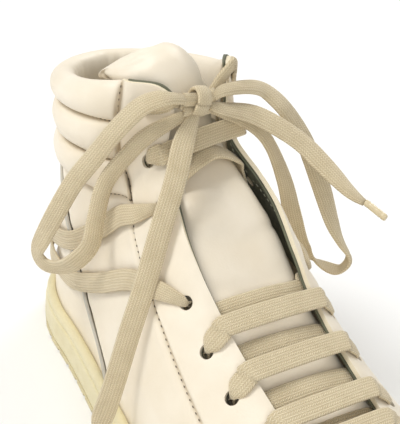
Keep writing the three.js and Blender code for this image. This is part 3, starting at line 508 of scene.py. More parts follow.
def ribbonSections(route, faces, widths, folds, spacing, thickness, around):
    # Cross-sections of a flat lace along a route. folds says how far its edges curl back.
    fine = np.linspace(0, 1, 40 * (len(route) - 1) + 1)
    line = spline(route, fine)
    data = np.concatenate([line, spline(faces, fine), spline(widths, fine), spline(folds, fine)], 1)
    steps = np.linalg.norm(np.diff(line, axis=0), axis=1)
    run = np.concatenate([[0], np.cumsum(steps)])
    count = max(8, int(run[-1] / spacing))
    wanted = np.linspace(0, run[-1], count + 1)
    data = np.stack([np.interp(wanted, run, data[:, axis]) for axis in range(data.shape[1])], -1)
    centre, face, width, fold = data[:, :3], data[:, 3:6], data[:, 6], data[:, 7]
    tangent = unit(np.gradient(centre, axis=0))
    face = unit(face - tangent * (face * tangent).sum(1, keepdims=True))
    side = np.cross(tangent, face)
    angle = 2 * np.pi * np.arange(around + 1) / around
    flat = np.sign(np.cos(angle)) * np.abs(np.cos(angle)) ** 0.45
    bulge = np.sign(np.sin(angle)) * np.abs(np.sin(angle)) ** 0.8
    bend = fold[:, None] * np.abs(flat)[None, :] ** 1.6 * width[:, None] * 0.5
    reach = flat[None, :] * 0.5 * width[:, None] * np.sqrt(np.maximum(0.05, 1 - 0.55 * fold[:, None] ** 2))
    hollow = 1 - 0.16 * bell(flat, 0.45)
    out = bulge[None, :] * 0.5 * thickness * hollow[None, :] - bend
    points = centre[None] + (side[None] * reach.T[..., None] + face[None] * out.T[..., None])
    uvs = np.stack(np.broadcast_arrays(flat[:, None] * lace["width"] * 0.5, wanted[None, :]), -1)
    return points, uvs, centre


def addRibbon(name, route, faces, widths, folds=None, slotName="lace", material="lace",
              thickness=lace["thickness"]):
    folds = np.zeros(len(route)) if folds is None else np.asarray(folds, float)
    points, uvs, centre = ribbonSections(
        np.asarray(route, float), np.asarray(faces, float), np.asarray(widths, float)[:, None],
        folds[:, None], lace["spacing"], thickness, lace["around"])
    bm = gridOf(toFrame(points), uvs, weldAround=True)
    closeAndTurnOut(bm)
    made = finishMesh(bm, name, shoeBody, slotName, finish[material])
    return made, toFrame(centre)


bow = {
    "loop_left": {
        "route": [(99.5, -7.5, 163), (100, -13.5, 165.5), (100, -21.5, 166.5), (94, -28, 161),
                  (87, -34, 149), (80, -39, 135), (73, -45, 120), (67, -50, 103), (60, -53, 87),
                  (57, -54, 79), (60, -52, 73), (69, -48, 75), (81, -47, 85), (87, -43, 96), (85, -40, 107),
                  (84, -36, 122), (89, -30, 136), (95, -23.5, 148), (99, -13.5, 155.5), (99.5, -7.5, 158)],
        "faces": {0: (0.3, -0.6, 1), 3: (0.45, -0.8, 0.6), 7: (0.7, -0.9, 0.2), 9: (0.2, -1, 0.3),
                  11: (0.6, -1, -0.6), 13: (1, -0.5, 0.1), 16: (0.9, -0.4, 0.3), 19: (0.5, -0.4, 0.8)},
        "widths": {0: 4.6, 1: 6.2, 3: 9, 12: 9, 14: 8, 17: 7.4, 18: 5.6, 19: 4.4},
        "folds": {0: 0.7, 2: 0.4, 5: 0.22, 9: 0.1, 13: 0.35, 17: 0.5, 19: 0.7},
    },
    "loop_right": {
        "route": [(99.5, 1.5, 163), (101, 6.5, 166.5), (100, 20, 165.5), (100, 29, 162), (105, 36, 155),
                  (107, 44, 144), (108, 50, 134), (113, 56, 118), (120, 60, 103), (126, 62, 95),
                  (131, 64, 89), (131, 63, 84), (126, 61, 79), (115, 58, 79), (108, 54, 84), (105, 49, 100),
                  (104, 43, 118), (101, 35, 136), (100, 25, 146.5), (99, 8.5, 155.5), (99, 1.5, 158.5)],
        "faces": {0: (0.3, 0.2, 1), 3: (0.6, 0.1, 0.9), 7: (0.9, -0.2, 0.3), 10: (0.5, 0.9, 0.2),
                  12: (0.2, 0.2, -1), 14: (0.8, -0.6, -0.3), 17: (0.8, 0.5, 0.1), 20: (0.6, 0.3, 0.7)},
        "widths": {0: 4.6, 1: 6.4, 3: 9, 9: 9, 11: 7.4, 13: 9, 17: 8, 19: 5.8, 20: 4.4},
        "folds": {0: 0.7, 2: 0.4, 5: 0.15, 11: 0.4, 14: 0.1, 18: 0.4, 20: 0.7},
    },
    "end_right": {
        "route": [(101, 0.5, 160.5), (104, 4.5, 159.5), (107, 20, 155), (118, 34, 147), (130, 41, 139),
                  (142, 45, 133), (150, 47, 131)],
        "faces": {0: (0.6, -0.3, 0.8), 6: (0.5, -0.35, 0.8)},
        "widths": {0: 4.4, 1: 6, 2: 9, 4: 8.6, 5: 6.4, 6: 3.4},
        "folds": {0: 0.6, 2: 0.15, 4: 0.3, 6: 0.75},
    },
    "end_left": {
        "route": [(101, -5.5, 157.5), (104, -9.5, 154.5), (108, -15, 148.5), (115, -22, 136),
                  (122, -31, 121), (128, -40, 101), (130, -47, 80), (129, -52, 55), (126, -55, 36),
                  (124, -57, 27)],
        "faces": {0: (0.8, -0.3, 0.5), 9: (0.75, -0.65, 0.2)},
        "widths": {0: 4.4, 1: 6.6, 2: 9, 8: 9, 9: 3.0},
        "folds": {0: 0.6, 2: 0.1, 8: 0.1, 9: 0.75},
    },
}


def keyed(keys, count):
    # Values given at some points of a route, carried evenly to the others.
    places = sorted(keys)
    values = np.array([np.atleast_1d(keys[place]) for place in places], float)
    wanted = np.arange(count)
    spread = np.stack([np.interp(wanted, places, values[:, axis]) for axis in range(values.shape[1])], -1)
    return spread[:, 0] if spread.shape[1] == 1 else unit(spread)


aglet = {"length": 11.0, "radius": 1.5, "flatten": 0.86, "crimps": (0.2, 0.5, 0.8)}


def addAglet(name, tip, before):
    along = unit(tip - before)
    bm = bmesh.new()
    bmesh.ops.create_cone(bm, cap_ends=True, cap_tris=False, segments=28, radius1=aglet["radius"],
                          radius2=aglet["radius"], depth=aglet["length"])
    rings = [share * aglet["length"] - aglet["length"] / 2 for share in np.linspace(0.04, 0.96, 24)]
    for level in rings:
        bmesh.ops.bisect_plane(bm, geom=bm.verts[:] + bm.edges[:] + bm.faces[:], plane_co=(0, 0, level),
                               plane_no=(0, 0, 1))
    for vert in bm.verts:
        share = vert.co.z / aglet["length"] + 0.5
        pinch = 1 - sum(0.07 * bell(share - crimp, 0.03) for crimp in aglet["crimps"])
        pinch *= 1 - 0.22 * bell(share - 1, 0.035)
        vert.co.x *= pinch
        vert.co.y *= pinch * aglet["flatten"]
    centre = tip + along * (lace["clearance"] + aglet["length"] / 2)
    turn = Vector((0, 0, 1)).rotation_difference(Vector(along)).to_matrix().to_4x4()
    place = Matrix.Translation(Vector(toFrame(centre))) @ turn @ Matrix.Scale(0.001, 4)
    bmesh.ops.transform(bm, matrix=place, verts=bm.verts)
    bmesh.ops.bevel(bm, geom=[edge for edge in bm.edges if edge.calc_face_angle(0) > 1.2], offset=0.0003,
                    segments=2, affect="EDGES", profile=0.5, material=-1)
    made = finishMesh(bm, name, shoeBody, "aglet", finish["aglet"])
    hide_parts(name.replace("tip", "aglet"))
    return made


for key, shape in bow.items():
    count = len(shape["route"])
    made, centre = addRibbon(
        "bow_" + key + "_braid", shape["route"], keyed(shape["faces"], count),
        keyed(shape["widths"], count), keyed(shape["folds"], count))
    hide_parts("bow_" + key)
    lengthOf(centre)
    tips = []
    if key.startswith("end"):
        tips = [addAglet("tip_" + key[4:], np.array(shape["route"][-1], float),
                         np.array(shape["route"][-2], float))]
    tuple(centre[0])

knot = {"centre": (99, -3.5, 161.5), "ring": (4.4, 5.6), "width": 6.6, "tilt": 0.25, "reach": 7.4,
        "strand": 6.2}


def addKnot():
    # A bundle of gathered lace with one band drawn around it.
    centre = np.array(knot["centre"], float)
    turns = np.linspace(0, 2 * np.pi, 17)
    ring, faces = [], []
    for turn in turns:
        out = np.array([math.cos(turn), 0.16 * math.sin(turn), math.sin(turn)])
        spot = centre + np.array([out[0] * knot["ring"][0], knot["tilt"] * out[2] * 3.2 - 0.6 * turn / 6.28,
                                  out[2] * knot["ring"][1]])
        ring.append(spot)
        faces.append(out)
    made, _ = addRibbon("knot_band", ring, faces, np.full(len(ring), knot["width"]),
                        np.full(len(ring), 0.12), thickness=1.9)
    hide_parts("bow_knot")
    core = []
    for share in np.linspace(-1, 1, 7):
        core.append(centre + np.array([0.3, share * knot["reach"], 0.9 * share * share]))
    for index, (lift, ahead) in enumerate(((2.0, 1.2), (-0.6, -1.4), (-2.6, 1.2))):
        route = np.array(core) + np.array([ahead, 0, lift])
        addRibbon(f"knot_strand_{index + 1}", route, np.tile([0.8, 0, 0.6], (7, 1)),
                  np.full(7, knot["strand"]), np.full(7, 0.6))


addKnot()


def mirrored(places, side):
    return np.asarray(places, float) * np.array([side, 1.0])


def addBar(name, eyelet, edgeStation, slack):
    shares = [0, 0, 0.22, 0.45, 0.8, 1]
    lifts = [lace["tuck"], 0.2, rideHeight + slack - 0.1, rideHeight + slack, rideHeight + slack,
             rideHeight + slack + 0.6]
    places = np.array([[eyelet[0] + (edgeStation - eyelet[0]) * share, eyelet[1] + (1 - eyelet[1]) * share]
                       for share in shares])
    halves = {side: (onSurface(mirrored(places, side), lifts),
                     surfaceNormal(places[:, 0] * side, places[:, 1])) for side in (-1, 1)}
    low, lowFaces = halves[-1]
    high, highFaces = halves[1]
    middle = (low[-1] + high[-1]) / 2 + np.array([0.6, 0, 1.2])
    middleFace = unit(lowFaces[-1] + highFaces[-1])
    throat, wide = lace["throat"], lace["width"]
    widths = [lace["pinch"], throat, 7.6, wide, wide, wide, wide]
    folds = [0.8, 0.75, 0.3, 0.05, 0, 0, 0]
    made, _ = addRibbon(name + "_braid", [*low, middle, *high[::-1]],
                        [*lowFaces, middleFace, *highFaces[::-1]], widths + widths[-2::-1],
                        folds + folds[-2::-1])
    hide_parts(name)


bars = [(1, 7, 1.4), (4, 9.25, 0), (5, 9.95, 0), (6, 10.75, 0), (7, 11.7, 0)]
for index, (eyelet, edgeStation, slack) in enumerate(bars):
    addBar(f"lace_bar_{index + 1}", eyelets[eyelet], edgeStation, slack)

crossDepth = leatherThick + skinGap + facingThick + lace["clearance"] + lace["thickness"] / 2 + 0.15


def addCross(name, lateralStation, medialStation, endStation, lift):
    places = np.array([[-lateralStation, 0.88], [-lateralStation, 0.92], [-lateralStation, 0.98],
                       [medialStation, 0.98], [(medialStation + endStation) / 2, 0.93], [endStation, 0.87]])
    points = onSurface(places, np.full(6, -crossDepth))
    faces = surfaceNormal(places[:, 0], places[:, 1])
    middleFace = unit(faces[2] + faces[3])
    middle = (points[2] + points[3]) / 2 + middleFace * lift
    throat, wide = lace["throat"], lace["width"]
    made, _ = addRibbon(name + "_braid", [*points[:3], middle, *points[3:]],
                        [*faces[:3], middleFace, *faces[3:]], [throat, 7, wide, wide, wide, 7, throat],
                        [0.4, 0.2, 0.05, 0, 0.05, 0.2, 0.4])
    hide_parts(name)


crosses = [(7.25, 7.3, 7.3, 8.3), (9, 9, 8.7, 3), (9.62, 9.66, 9.66, 3), (10.34, 10.38, 10.38, 3),
           (11.2, 11.2, 11.2, 3)]
for index, shape in enumerate(crosses):
    addCross(f"lace_cross_{index + 1}", *shape)

for side, label in ((-1, "lateral"), (1, "medial")):
    places = mirrored([eyelets[0], eyelets[0], [5.8, 0.965], [6.05, 1]], side)
    points = onSurface(places, [-3.2, 0.9, rideHeight + 0.3, rideHeight + 0.5])
    knotSide = np.array(knot["centre"], float) + np.array([-3, side * 6.8, -1])
    faces = [*surfaceNormal(places[:, 0], places[:, 1]), np.array([0.6, 0, 0.8])]
    made, _ = addRibbon(f"lace_strand_{label}_braid", [*points, knotSide], faces, [3.6, 4.6, 7, 7, 4.4],
                        [0.8, 0.6, 0.3, 0.3, 0.6])
    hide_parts(f"lace_strand_{label}")

wrapRoutes = {
    "ankle_wrap_upper": ([eyelets[2], [6.8, 0.74], [5.9, 0.62], [5.1, 0.54], [3.9, 0.42], [2.7, 0.34],
                          [1.8, 0.3]], 0.279),
    "ankle_wrap_lower": ([eyelets[3], [8.1, 0.73], [7.3, 0.58], [5.5, 0.36], [3.9, 0.25], [2.7, 0.225],
                          [1.8, 0.22]], 0.221),
}
for name, (route, heel) in wrapRoutes.items():
    half = [route[0], route[0], *route[1:]]
    line = np.array([*mirrored(half, -1), [-1, heel], [0, heel], [1, heel], *mirrored(half, 1)[::-1]])
    last = len(line) - 1
    ends = [min(index, last - index) for index in range(last + 1)]
    behind = [abs(station) <= 1 for station, _ in line]
    lifts = [{0: lace["tuck"], 1: 0.6}.get(end, rideHeight + 0.7) for end in ends]
    widths = [{0: lace["pinch"], 1: 4.6, 2: 8.2}.get(end, 5.6 if back else lace["width"])
              for end, back in zip(ends, behind)]
    folds = [{0: 0.8, 1: 0.7, 2: 0.15}.get(end, 0.35 if back else 0) for end, back in zip(ends, behind)]
    made, _ = addRibbon(name + "_braid", onSurface(line, lifts), surfaceNormal(line[:, 0], line[:, 1]),
                        widths, folds)
    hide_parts(name)
print("laces laid")

# Seams, as station and height

eyestaySeam = [[6.1, 0.68], [6.6, 0.682], [7.1, 0.68], [8.1, 0.655], [9, 0.63], [10, 0.6], [11.2, 0.6],
               [12.4, 0.64]]
collarSeam = [[6.1, 0.68], [5.35, 0.79], [5.02, 0.91], [4.95, 1.04]]
stripeSeam = [[6.55, -0.05], [6.1, 0.08], [5, 0.19], [4.1, 0.31], [3.4, 0.45], [2.7, 0.57], [2.25, 0.66]]
stripeWidth = 0.26
rollSeams = [0.66, 0.79, 0.915, 1.01]
flapEdge = [[4.95, 1.04], [5.45, 1.025], [6, 1], [7, 1], [8, 1], [9, 1], [10, 1], [11.2, 1], [12.4, 1]]


def lowEdge(station):
    return [station, float(heightAtLevel(np.array(station, float), upper["lasting"]))]


def lowLine(start, end, count):
    return [lowEdge(station) for station in np.linspace(start, end, count + 1)]


vampSeam = [lowEdge(11.3), eyestaySeam[-1]]
toeSeamCorner = [vampSeam[0][axis] + (vampSeam[1][axis] - vampSeam[0][axis]) * 0.75 for axis in (0, 1)]


def stripeEdge(share):
    moved = [[station + share * stripeWidth, height] for station, height in stripeSeam]
    return [lowEdge(moved[0][0]), *moved[1:]]


def collarBase(station):
    climb = float(smoothStep(abs(station), stripeSeam[-1][0], collarSeam[0][0]))
    return [station, rollSeams[0] + (collarSeam[0][1] - rollSeams[0]) * climb]


def panelPlaces(edges, u, w):
    # Places inside four boundary curves.
    curve = broken if edges.get("straightSides") else spline
    low, high = spline(edges["bottom"], u), spline(edges["top"], u)
    left = edges.get("left") or [edges["bottom"][0], edges["top"][0]]
    right = edges.get("right") or [edges["bottom"][-1], edges["top"][-1]]
    start, end = curve(left, w), curve(right, w)
    ends = (("bottom", 0), ("bottom", -1), ("top", 0), ("top", -1))
    corners = [np.asarray(edges[key][index], float) for key, index in ends]
    u, w = u[..., None], w[..., None]
    return ((1 - w) * low + w * high + (1 - u) * start + u * end - (1 - u) * (1 - w) * corners[0]
            - u * (1 - w) * corners[1]
            - (1 - u) * w * corners[2] - u * w * corners[3])


def panelGrid(edges, columns, rows):
    u, w = np.meshgrid(np.linspace(0, 1, columns + 1), np.linspace(0, 1, rows + 1), indexing="ij")
    places = panelPlaces(edges, u, w)
    base = surfacePoint(places[..., 0], places[..., 1])
    normal = surfaceNormal(places[..., 0], places[..., 1])
    up = np.concatenate([np.zeros((columns + 1, 1)),
                         np.cumsum(np.linalg.norm(np.diff(base, axis=1), axis=2), axis=1)], 1)
    across = np.concatenate([np.zeros((1, rows + 1)),
                             np.cumsum(np.linalg.norm(np.diff(base, axis=0), axis=2), axis=0)], 0)
    return {"u": u, "w": w, "station": places[..., 0], "height": places[..., 1], "base": base,
            "normal": normal, "bottom": up, "top": up[:, -1:] - up, "left": across, "right": across[-1:]
            - across}


wrapLines = []
for name, (route, heel) in wrapRoutes.items():
    whole = spline([*route, [1, heel], [0, heel]], np.linspace(0, 1, 80))
    for side in (-1, 1):
        wrapLines.append(onSurface(mirrored(whole, side), np.zeros(80)))
wrapCloud = np.concatenate(wrapLines)
eyeletSpots = np.concatenate([onSurface(mirrored(eyelets, side), np.zeros(8)) for side in (-1, 1)])


def nearest(points, cloud):
    flat = points.reshape(-1, 3)
    best = np.full(len(flat), 1e9)
    for start in range(0, len(cloud), 40):
        gap = np.linalg.norm(flat[:, None] - cloud[None, start:start + 40], axis=2).min(1)
        best = np.minimum(best, gap)
    return best.reshape(points.shape[:-1])


def leatherRelief(grid, strength=1.0):
    # Soft lasting of the leather: broad waves, pulls at the eyelets, the press of the ankle bands.
    base = grid["base"]
    waves = 0.34 * noiseAt(base, 31.0, 3.1) + 0.16 * noiseAt(base, 12.0, 7.7)
    creases = 0.1 * noiseAt(base * np.array([1.0, 0.35, 2.2]), 9.0, 11.3)
    band = nearest(base, wrapCloud)
    press = -0.75 * bell(band, 4.6) + 0.3 * bell(band - 8.5, 3.2)
    pull = -0.55 * bell(nearest(base, eyeletSpots), 4.2)
    return strength * (waves + creases) + press + pull


def seamDip(grid, keys, depth=1.0, width=1.7):
    dip = np.zeros_like(grid["u"])
    shade = np.zeros_like(grid["u"])
    for key in keys:
        dip -= depth * bell(grid[key], width)
        dip += 0.22 * depth * bell(grid[key] - 5.2, 2.6)
        # Painted shade: how close each point is to a seam, which darkens the leather's colour there.
        shade = np.maximum(shade, bell(grid[key], 1.3))
    return dip, shade


def addPanel(name, edges, columns, rows, seams, lift=0.0, material="leather", slotName="leather",
             thickness=leatherThick, relief=1.0, extra=None, bevel=0.4, replaced=None, rim=0):
    grid = panelGrid(edges, columns, rows)
    dip, shade = seamDip(grid, seams)
    offset = lift + dip + (leatherRelief(grid, relief) if relief else 0)
    if extra is not None:
        offset = offset + extra(grid)
    points = grid["base"] + grid["normal"] * offset[..., None]
    bm = gridOf(toFrame(points), attributes={"seamShade": shade})
    wanted = grid["normal"][columns // 2, rows // 2]
    middle = Vector(toFrame(points[columns // 2, rows // 2]))
    nearFace = min(bm.faces, key=lambda face: (face.calc_center_median() - middle).length)
    nearFace.normal_update()
    if nearFace.normal.dot(Vector(wanted)) < 0:
        bmesh.ops.reverse_faces(bm, faces=bm.faces)
    materials = [finish[material]] + ([finish["rawEdge"]] if rim else [])
    made = finishMesh(bm, name, shoeBody, slotName, *materials)
    addSolidify(made, thickness, rim=rim)
    if bevel:
        addBevel(made, bevel)
    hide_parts(*(replaced or []))
    return made


def flip(points, side):
    return [[station * side, height] for station, height in points]


# Heel and side panels

rise = stripeEdge(-0.5)
addPanel("heel_leather", {
    "bottom": lowLine(-rise[0][0], rise[0][0], 8),
    "top": [collarBase(share * rise[-1][0]) for share in (-1, -0.5, 0, 0.5, 1)], "left": flip(rise, -1),
    "right": rise,
}, 110, 56, ("left", "right", "top"), replaced=["heel_panel"])

for side, label in ((-1, "lateral"), (1, "medial")):
    addPanel(f"piping_{label}",
             {"bottom": flip(stripeEdge(-0.5), side), "top": flip(stripeEdge(0.5), side)}, 90, 8, (),
             relief=0, material="stripe", slotName="stripe", extra=lambda grid: 0.15
             + 1.0 * np.sqrt(np.maximum(0, 1 - (2 * grid["w"] - 1) ** 2))
             - 0.75 * bell(nearest(grid["base"], wrapCloud), 4.6), replaced=[f"stripe_{label}"], bevel=0)
    front = stripeEdge(0.5)
    quarterTop = [*[collarBase(station) for station in (front[-1][0], 3.6, 4.9)], *eyestaySeam]
    addPanel(f"quarter_leather_{label}", {
        "bottom": flip(lowLine(front[0][0], vampSeam[0][0], 6), side), "top": flip(quarterTop, side),
        "left": flip(front, side), "right": flip(vampSeam, side),
    }, 130, 56, ("left", "top", "right"), replaced=[f"quarter_{label}"])
print("heel and quarters made")

# Eyestay flaps with punched holes, and the facing behind them

hole = {"radius": 2.9, "segments": 24, "drill": 14.0}


def addDrills(side):
    bm = bmesh.new()
    radius = hole["radius"] * 0.001
    for station, height in mirrored(eyelets, side):
        centre = surfacePoint(station, height)
        normal = Vector(surfaceNormal(station, height))
        turn = Vector((0, 0, 1)).rotation_difference(normal).to_matrix().to_4x4()
        place = Matrix.Translation(Vector(toFrame(centre))) @ turn
        bmesh.ops.create_cone(bm, cap_ends=True, segments=hole["segments"], radius1=radius, radius2=radius,
                              depth=hole["drill"] * 0.001, matrix=place)
    return addObject(bm, "drills")


def punch(made, drills):
    cut = made.modifiers.new("holes", "BOOLEAN")
    cut.operation = "DIFFERENCE"
    cut.solver = "EXACT"
    cut.object = drills


for side, label in ((-1, "lateral"), (1, "medial")):
    flap = addPanel(f"eyestay_leather_{label}", {
        "bottom": flip(eyestaySeam, side), "top": flip(flapEdge, side), "left": flip(collarSeam, side),
        "right": flip([eyestaySeam[-1], flapEdge[-1]], side),
    }, 150, 36, ("bottom", "left", "right"), bevel=0, rim=1, relief=0.8,
        extra=lambda grid: -0.35 * bell(grid["top"], 2.2) * smoothStep(grid["station"] ** 2, 36, 49),
        replaced=[f"eyestay_{label}"])
    drills = addDrills(side)
    punch(flap, drills)
    applyModifiers(flap)
    addBevel(flap, 0.35, 2, 55)
    facing = addPanel(f"facing_leather_{label}", {
        "bottom": flip([[station, height + 0.03] for station, height in eyestaySeam], side),
        "top": flip(flapEdge, side),
        "left": flip([[station + 0.1, height] for station, height in collarSeam], side),
        "right": flip([[12.4, 0.67], [12.4, 1]], side),
    }, 120, 28, (), lift=-leatherThick - 0.25, material="facing", slotName="facing", thickness=facingThick,
    bevel=0,
        relief=0, extra=lambda grid: 0.8 * leatherRelief(grid, 1.0) - 0.35 * bell(grid["top"], 2.2)
        * smoothStep(grid["station"] ** 2, 36, 49), replaced=[f"eyestay_facing_{label}"])
    punch(facing, drills)
    applyModifiers(facing)
    bpy.data.objects.remove(drills)
print("eyestays punched")

# Vamp and toe

corner, cornerHeight = toeSeamCorner
toeSeam = [[station, cornerHeight] for station in (corner, 12.4, 13.4, 14.6, 16, 17.4, 18.6, 19.6,
                                                   lap - corner)]
addPanel("toe_leather", {"bottom": lowLine(vampSeam[0][0], lap - vampSeam[0][0], 10), "top": toeSeam}, 170,
         36, ("top", "left", "right"), replaced=["toe_overlay"])
rear = [toeSeamCorner, eyestaySeam[-1], [eyestaySeam[-1][0], 1]]
vampEnd = [[lap - station, height] for station, height in rear]
addPanel("vamp_leather", {
    "bottom": toeSeam, "top": [rear[2], *[[station, 1] for station in (12.9, 14, 15, 16, 17, 18, 19.1)],
                               vampEnd[2]],
    "left": rear, "right": vampEnd, "straightSides": True,
}, 150, 44, ("bottom", "left", "right"), replaced=["vamp"],
    extra=lambda grid: 0.35 * noiseAt(grid["base"] * np.array([2.6, 0.6, 1.0]), 8.0, 5.0)
    * bell(grid["top"] - 6, 7))
print("vamp and toe made")

# Inner layers

inner = {"lining": leatherThick + 2 * skinGap + 1.2, "cloth": 1.2}
addPanel("ankle_lining",
         {"bottom": lowLine(-5, 5, 8),
          "top": [[station, 0.895] for station in (-4.85, -2.5, 0, 2.5, 4.85)]}, 110, 50, (),
          lift=-inner["lining"], material="lining", slotName="lining", thickness=inner["cloth"], relief=0,
         extra=lambda grid: 0.5 * noiseAt(grid["base"], 14.0, 2.0), bevel=0.2, replaced=["collar_lining"])
addPanel("vamp_lining", {
    "bottom": lowLine(5.15, 26.85, 20),
    "top": [[5.15, 0.6], [7, 0.6], [9, 0.56], [11.5, 0.55], [13.2, 0.94], [16, 0.96], [18.8, 0.94],
            [20.5, 0.55], [23, 0.56], [25, 0.6], [26.85, 0.6]],
}, 190, 36, (), lift=-inner["lining"], material="lining", slotName="lining", thickness=inner["cloth"],
relief=0,
    extra=lambda grid: 0.3 * noiseAt(grid["base"], 14.0, 2.0), bevel=0.2, replaced=["forefoot_lining"])
for node, key in (("heel_counter", "stiffener"), ("toe_puff", "stiffener"), ("outsole_tread", "tread"),
                  ("midsole_core", "foam"), ("insole_board", "board"), ("shank", "steel")):
    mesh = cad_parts[node].data
    mesh.materials.clear()
    mesh.materials.append(finish[key])

# Collar rolls

roll = {"around": 34, "along": 190, "backing": 3.4, "tuck": 0.98, "fill": 0.8}


def rollLoop(index):
    # The closed outline of a roll's section, as share between its seams and offset from the surface.
    if index < 2:
        return [(0.0, -0.9), (0.06, 1.5), (0.2, 3.4), (0.5, 4.5), (0.8, 3.5), (0.94, 1.6), (1.0, -0.9),
                (0.92, -2.9), (0.5, -3.3), (0.08, -2.9)]
    return [(0.0, -0.9), (0.05, 1.6), (0.2, 3.5), (0.45, 4.4), (0.68, 3.6), (0.86, 1.3), (0.96, -1.6),
            (0.93, -4.6), (0.76, -6.9), (0.45, -7.6), (0.1, -6.8), (-0.25, -5.9), (-0.52, -5.4),
            (-0.56, -4.8), (-0.2, -4.1)]


def addRoll(index, name):
    loop = np.array(rollLoop(index), float)
    closed = np.concatenate([loop[-1:], loop, loop[:2]])
    turns = np.linspace(0, len(loop), roll["around"] + 1)
    first = np.minimum(turns.astype(int), len(loop) - 1)
    mix = (turns - first)[:, None]
    ring = catmullRom(closed[first], closed[first + 1], closed[first + 2], closed[first + 3], mix)
    u = np.linspace(-1, 1, roll["along"] + 1)

    def seamAt(level, share):
        station, height = collarSeam[level]
        if level == 0:
            return np.array([collarBase(roll["tuck"] * part * station) for part in share])
        return np.stack([share * station, rollSeams[level] + (height - rollSeams[level]) * share ** 4], -1)

    low, high = seamAt(index, u), seamAt(index + 1, u)
    # The roll's end follows the collar's front seam, which isn't straight.
    seamPart = np.linspace(0, 1, 9)
    bow = spline(collarSeam, (index + seamPart) / 3)
    straight = bow[:1] * (1 - seamPart[:, None]) + bow[-1:] * seamPart[:, None]
    sag = bow[:, 0] - straight[:, 0]
    share = ring[:, 0][:, None]
    place = low[None] * (1 - share[..., None]) + high[None] * share[..., None]
    inSeam = np.interp(np.clip(share[:, 0], 0, 1), seamPart, sag)
    place[..., 0] += inSeam[:, None] * u[None] * np.abs(u[None]) ** 3
    taper = 1 - 0.55 * np.abs(u) ** 10 - 0.12 * np.abs(u) ** 3
    offset = ring[:, 1][:, None] * np.ones_like(u)[None]
    outward = np.maximum(offset, 0) * taper[None]
    inward = np.minimum(offset, 0)
    backing = roll["backing"]
    inward = np.where(inward < -backing, -backing + (inward + backing) * np.clip(taper[None] * 1.1, 0, 1),
                      inward)
    base = surfacePoint(place[..., 0], place[..., 1])
    offset = outward + inward
    soft = smoothStep(np.abs(ring[:, 1]), 0.8, 2.6)[:, None]
    waves = 0.42 * noiseAt(base, 24.0, 1.7 + index) + 0.2 * noiseAt(base, 9.0, 4.4 + index)
    wrinkle = noiseAt(base * np.array([1, 1, 0.28]), 4.6, 9.1)
    behind = smoothStep(-ring[:, 1], 3.6, 5.5)[:, None] * bell(u, 0.5)[None]
    offset = offset + soft * waves + (0.9 * behind if index == 2 else 0) * wrinkle
    tight = 0.12 * np.sin(place[..., 0] * 34 + 3 * noiseAt(base, 9.0, 2.2)) * bell(share - 0.03, 0.12)
    tight = tight + 0.1 * np.sin(place[..., 0] * 29) * bell(share - 0.97, 0.1) * (index < 2)
    offset = offset + tight * (offset > -1)
    points = base + surfaceNormal(place[..., 0], place[..., 1]) * offset[..., None]
    # Painted shade along the roll's seams and at its ends, where they tuck in.
    shade = bell(share, 0.07) + (bell(share - 1, 0.07) if index < 2 else 0)
    shade = np.clip(shade * (ring[:, 1][:, None] > -1.5) + bell(1 - np.abs(u), 0.012)[None] * 0.8, 0, 1)
    bm = gridOf(toFrame(points), weldAround=True, attributes={"seamShade": shade})
    closeAndTurnOut(bm)
    made = finishMesh(bm, name + "_pad", shoeBody, "leather", finish["leather"])
    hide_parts(name)


for index, name in enumerate(("collar_roll_lower", "collar_roll_middle", "collar_roll_top")):
    addRoll(index, name)
print("collar rolls made")

# Tongue

tongueRows = [((13.3, 0.82), (14.6, 0.92), 0.4), ((12, 0.8), (12.5, 0.97), 0.75),
              ((11, 0.77), (11.3, 0.97), 0.95), ((9.9, 0.76), (10.2, 0.97), 1),
              ((8.8, 0.76), (9.2, 0.97), 1), ((7.9, 0.76), (8.4, 0.97), 1), ((6.9, 0.78), (7.7, 0.97), 1),
              ((6.1, 0.84), (7.1, 0.96), 0.8)]
tongueFreeRows = [(88, (13, 13), 0, 16, 146, -2, 1, 1.15),
                  (86.5, (17, 15), -1.6, 17.3, 153, 0, 0.5, 1.4),
                  (82.5, (20, 17), -3.6, 18, 160, 3, -0.5, 1.7),
                  (78.5, (21, 18), -5.4, 17.8, 166, 7, 0.4, 1.75),
                  (74, (20.5, 18.5), -6.8, 17.2, 170, 11, 2, 1.55),
                  (70, (19.5, 18), -7.8, 16.4, 172.4, 14, 3.2, 0.95),
                  (68.5, (19, 17.5), -8, 15.9, 173.1, 14.8, 3.6, 0.35)]
tongue = {"padding": 6.4, "depth": 7.15, "around": 84, "rows": 130, "liningGap": 1.9,
          "creases": [([(-0.9, 8.6), (-0.5, 9.3), (0.0, 9.5)], 0.9, 2.2),
                      ([(-0.95, 9.6), (-0.55, 10.1), (-0.1, 10.1)], 0.7, 2.0),
                      ([(-0.6, 6.1), (-0.2, 6.0), (0.15, 6.15)], 0.5, 1.8),
                      ([(0.1, 5.2), (0.5, 5.35), (0.8, 5.1)], 0.5, 2.0),
                      ([(0.55, 9.2), (0.75, 10.2), (0.8, 11.0)], 0.9, 2.4),
                      ([(-0.4, 3.6), (0.0, 3.7), (0.4, 3.5)], 0.5, 1.6),
                      ([(-0.5, 2.4), (0.1, 2.2), (0.5, 2.5)], 0.6, 1.6),
                      ([(-0.8, 11.2), (-0.4, 11.8), (0.0, 12.6)], 0.8, 1.7),
                      ([(-0.75, 12.2), (-0.35, 12.7), (-0.05, 13.3)], 0.7, 1.5),
                      ([(-0.2, 6.9), (0.3, 7.1), (0.7, 6.8)], 0.6, 1.4),
                      ([(-0.7, 7.6), (-0.3, 7.9), (0.2, 7.8)], 0.5, 1.3),
                      ([(-0.5, 4.7), (0.0, 4.5), (0.5, 4.7)], 0.5, 1.4)]}


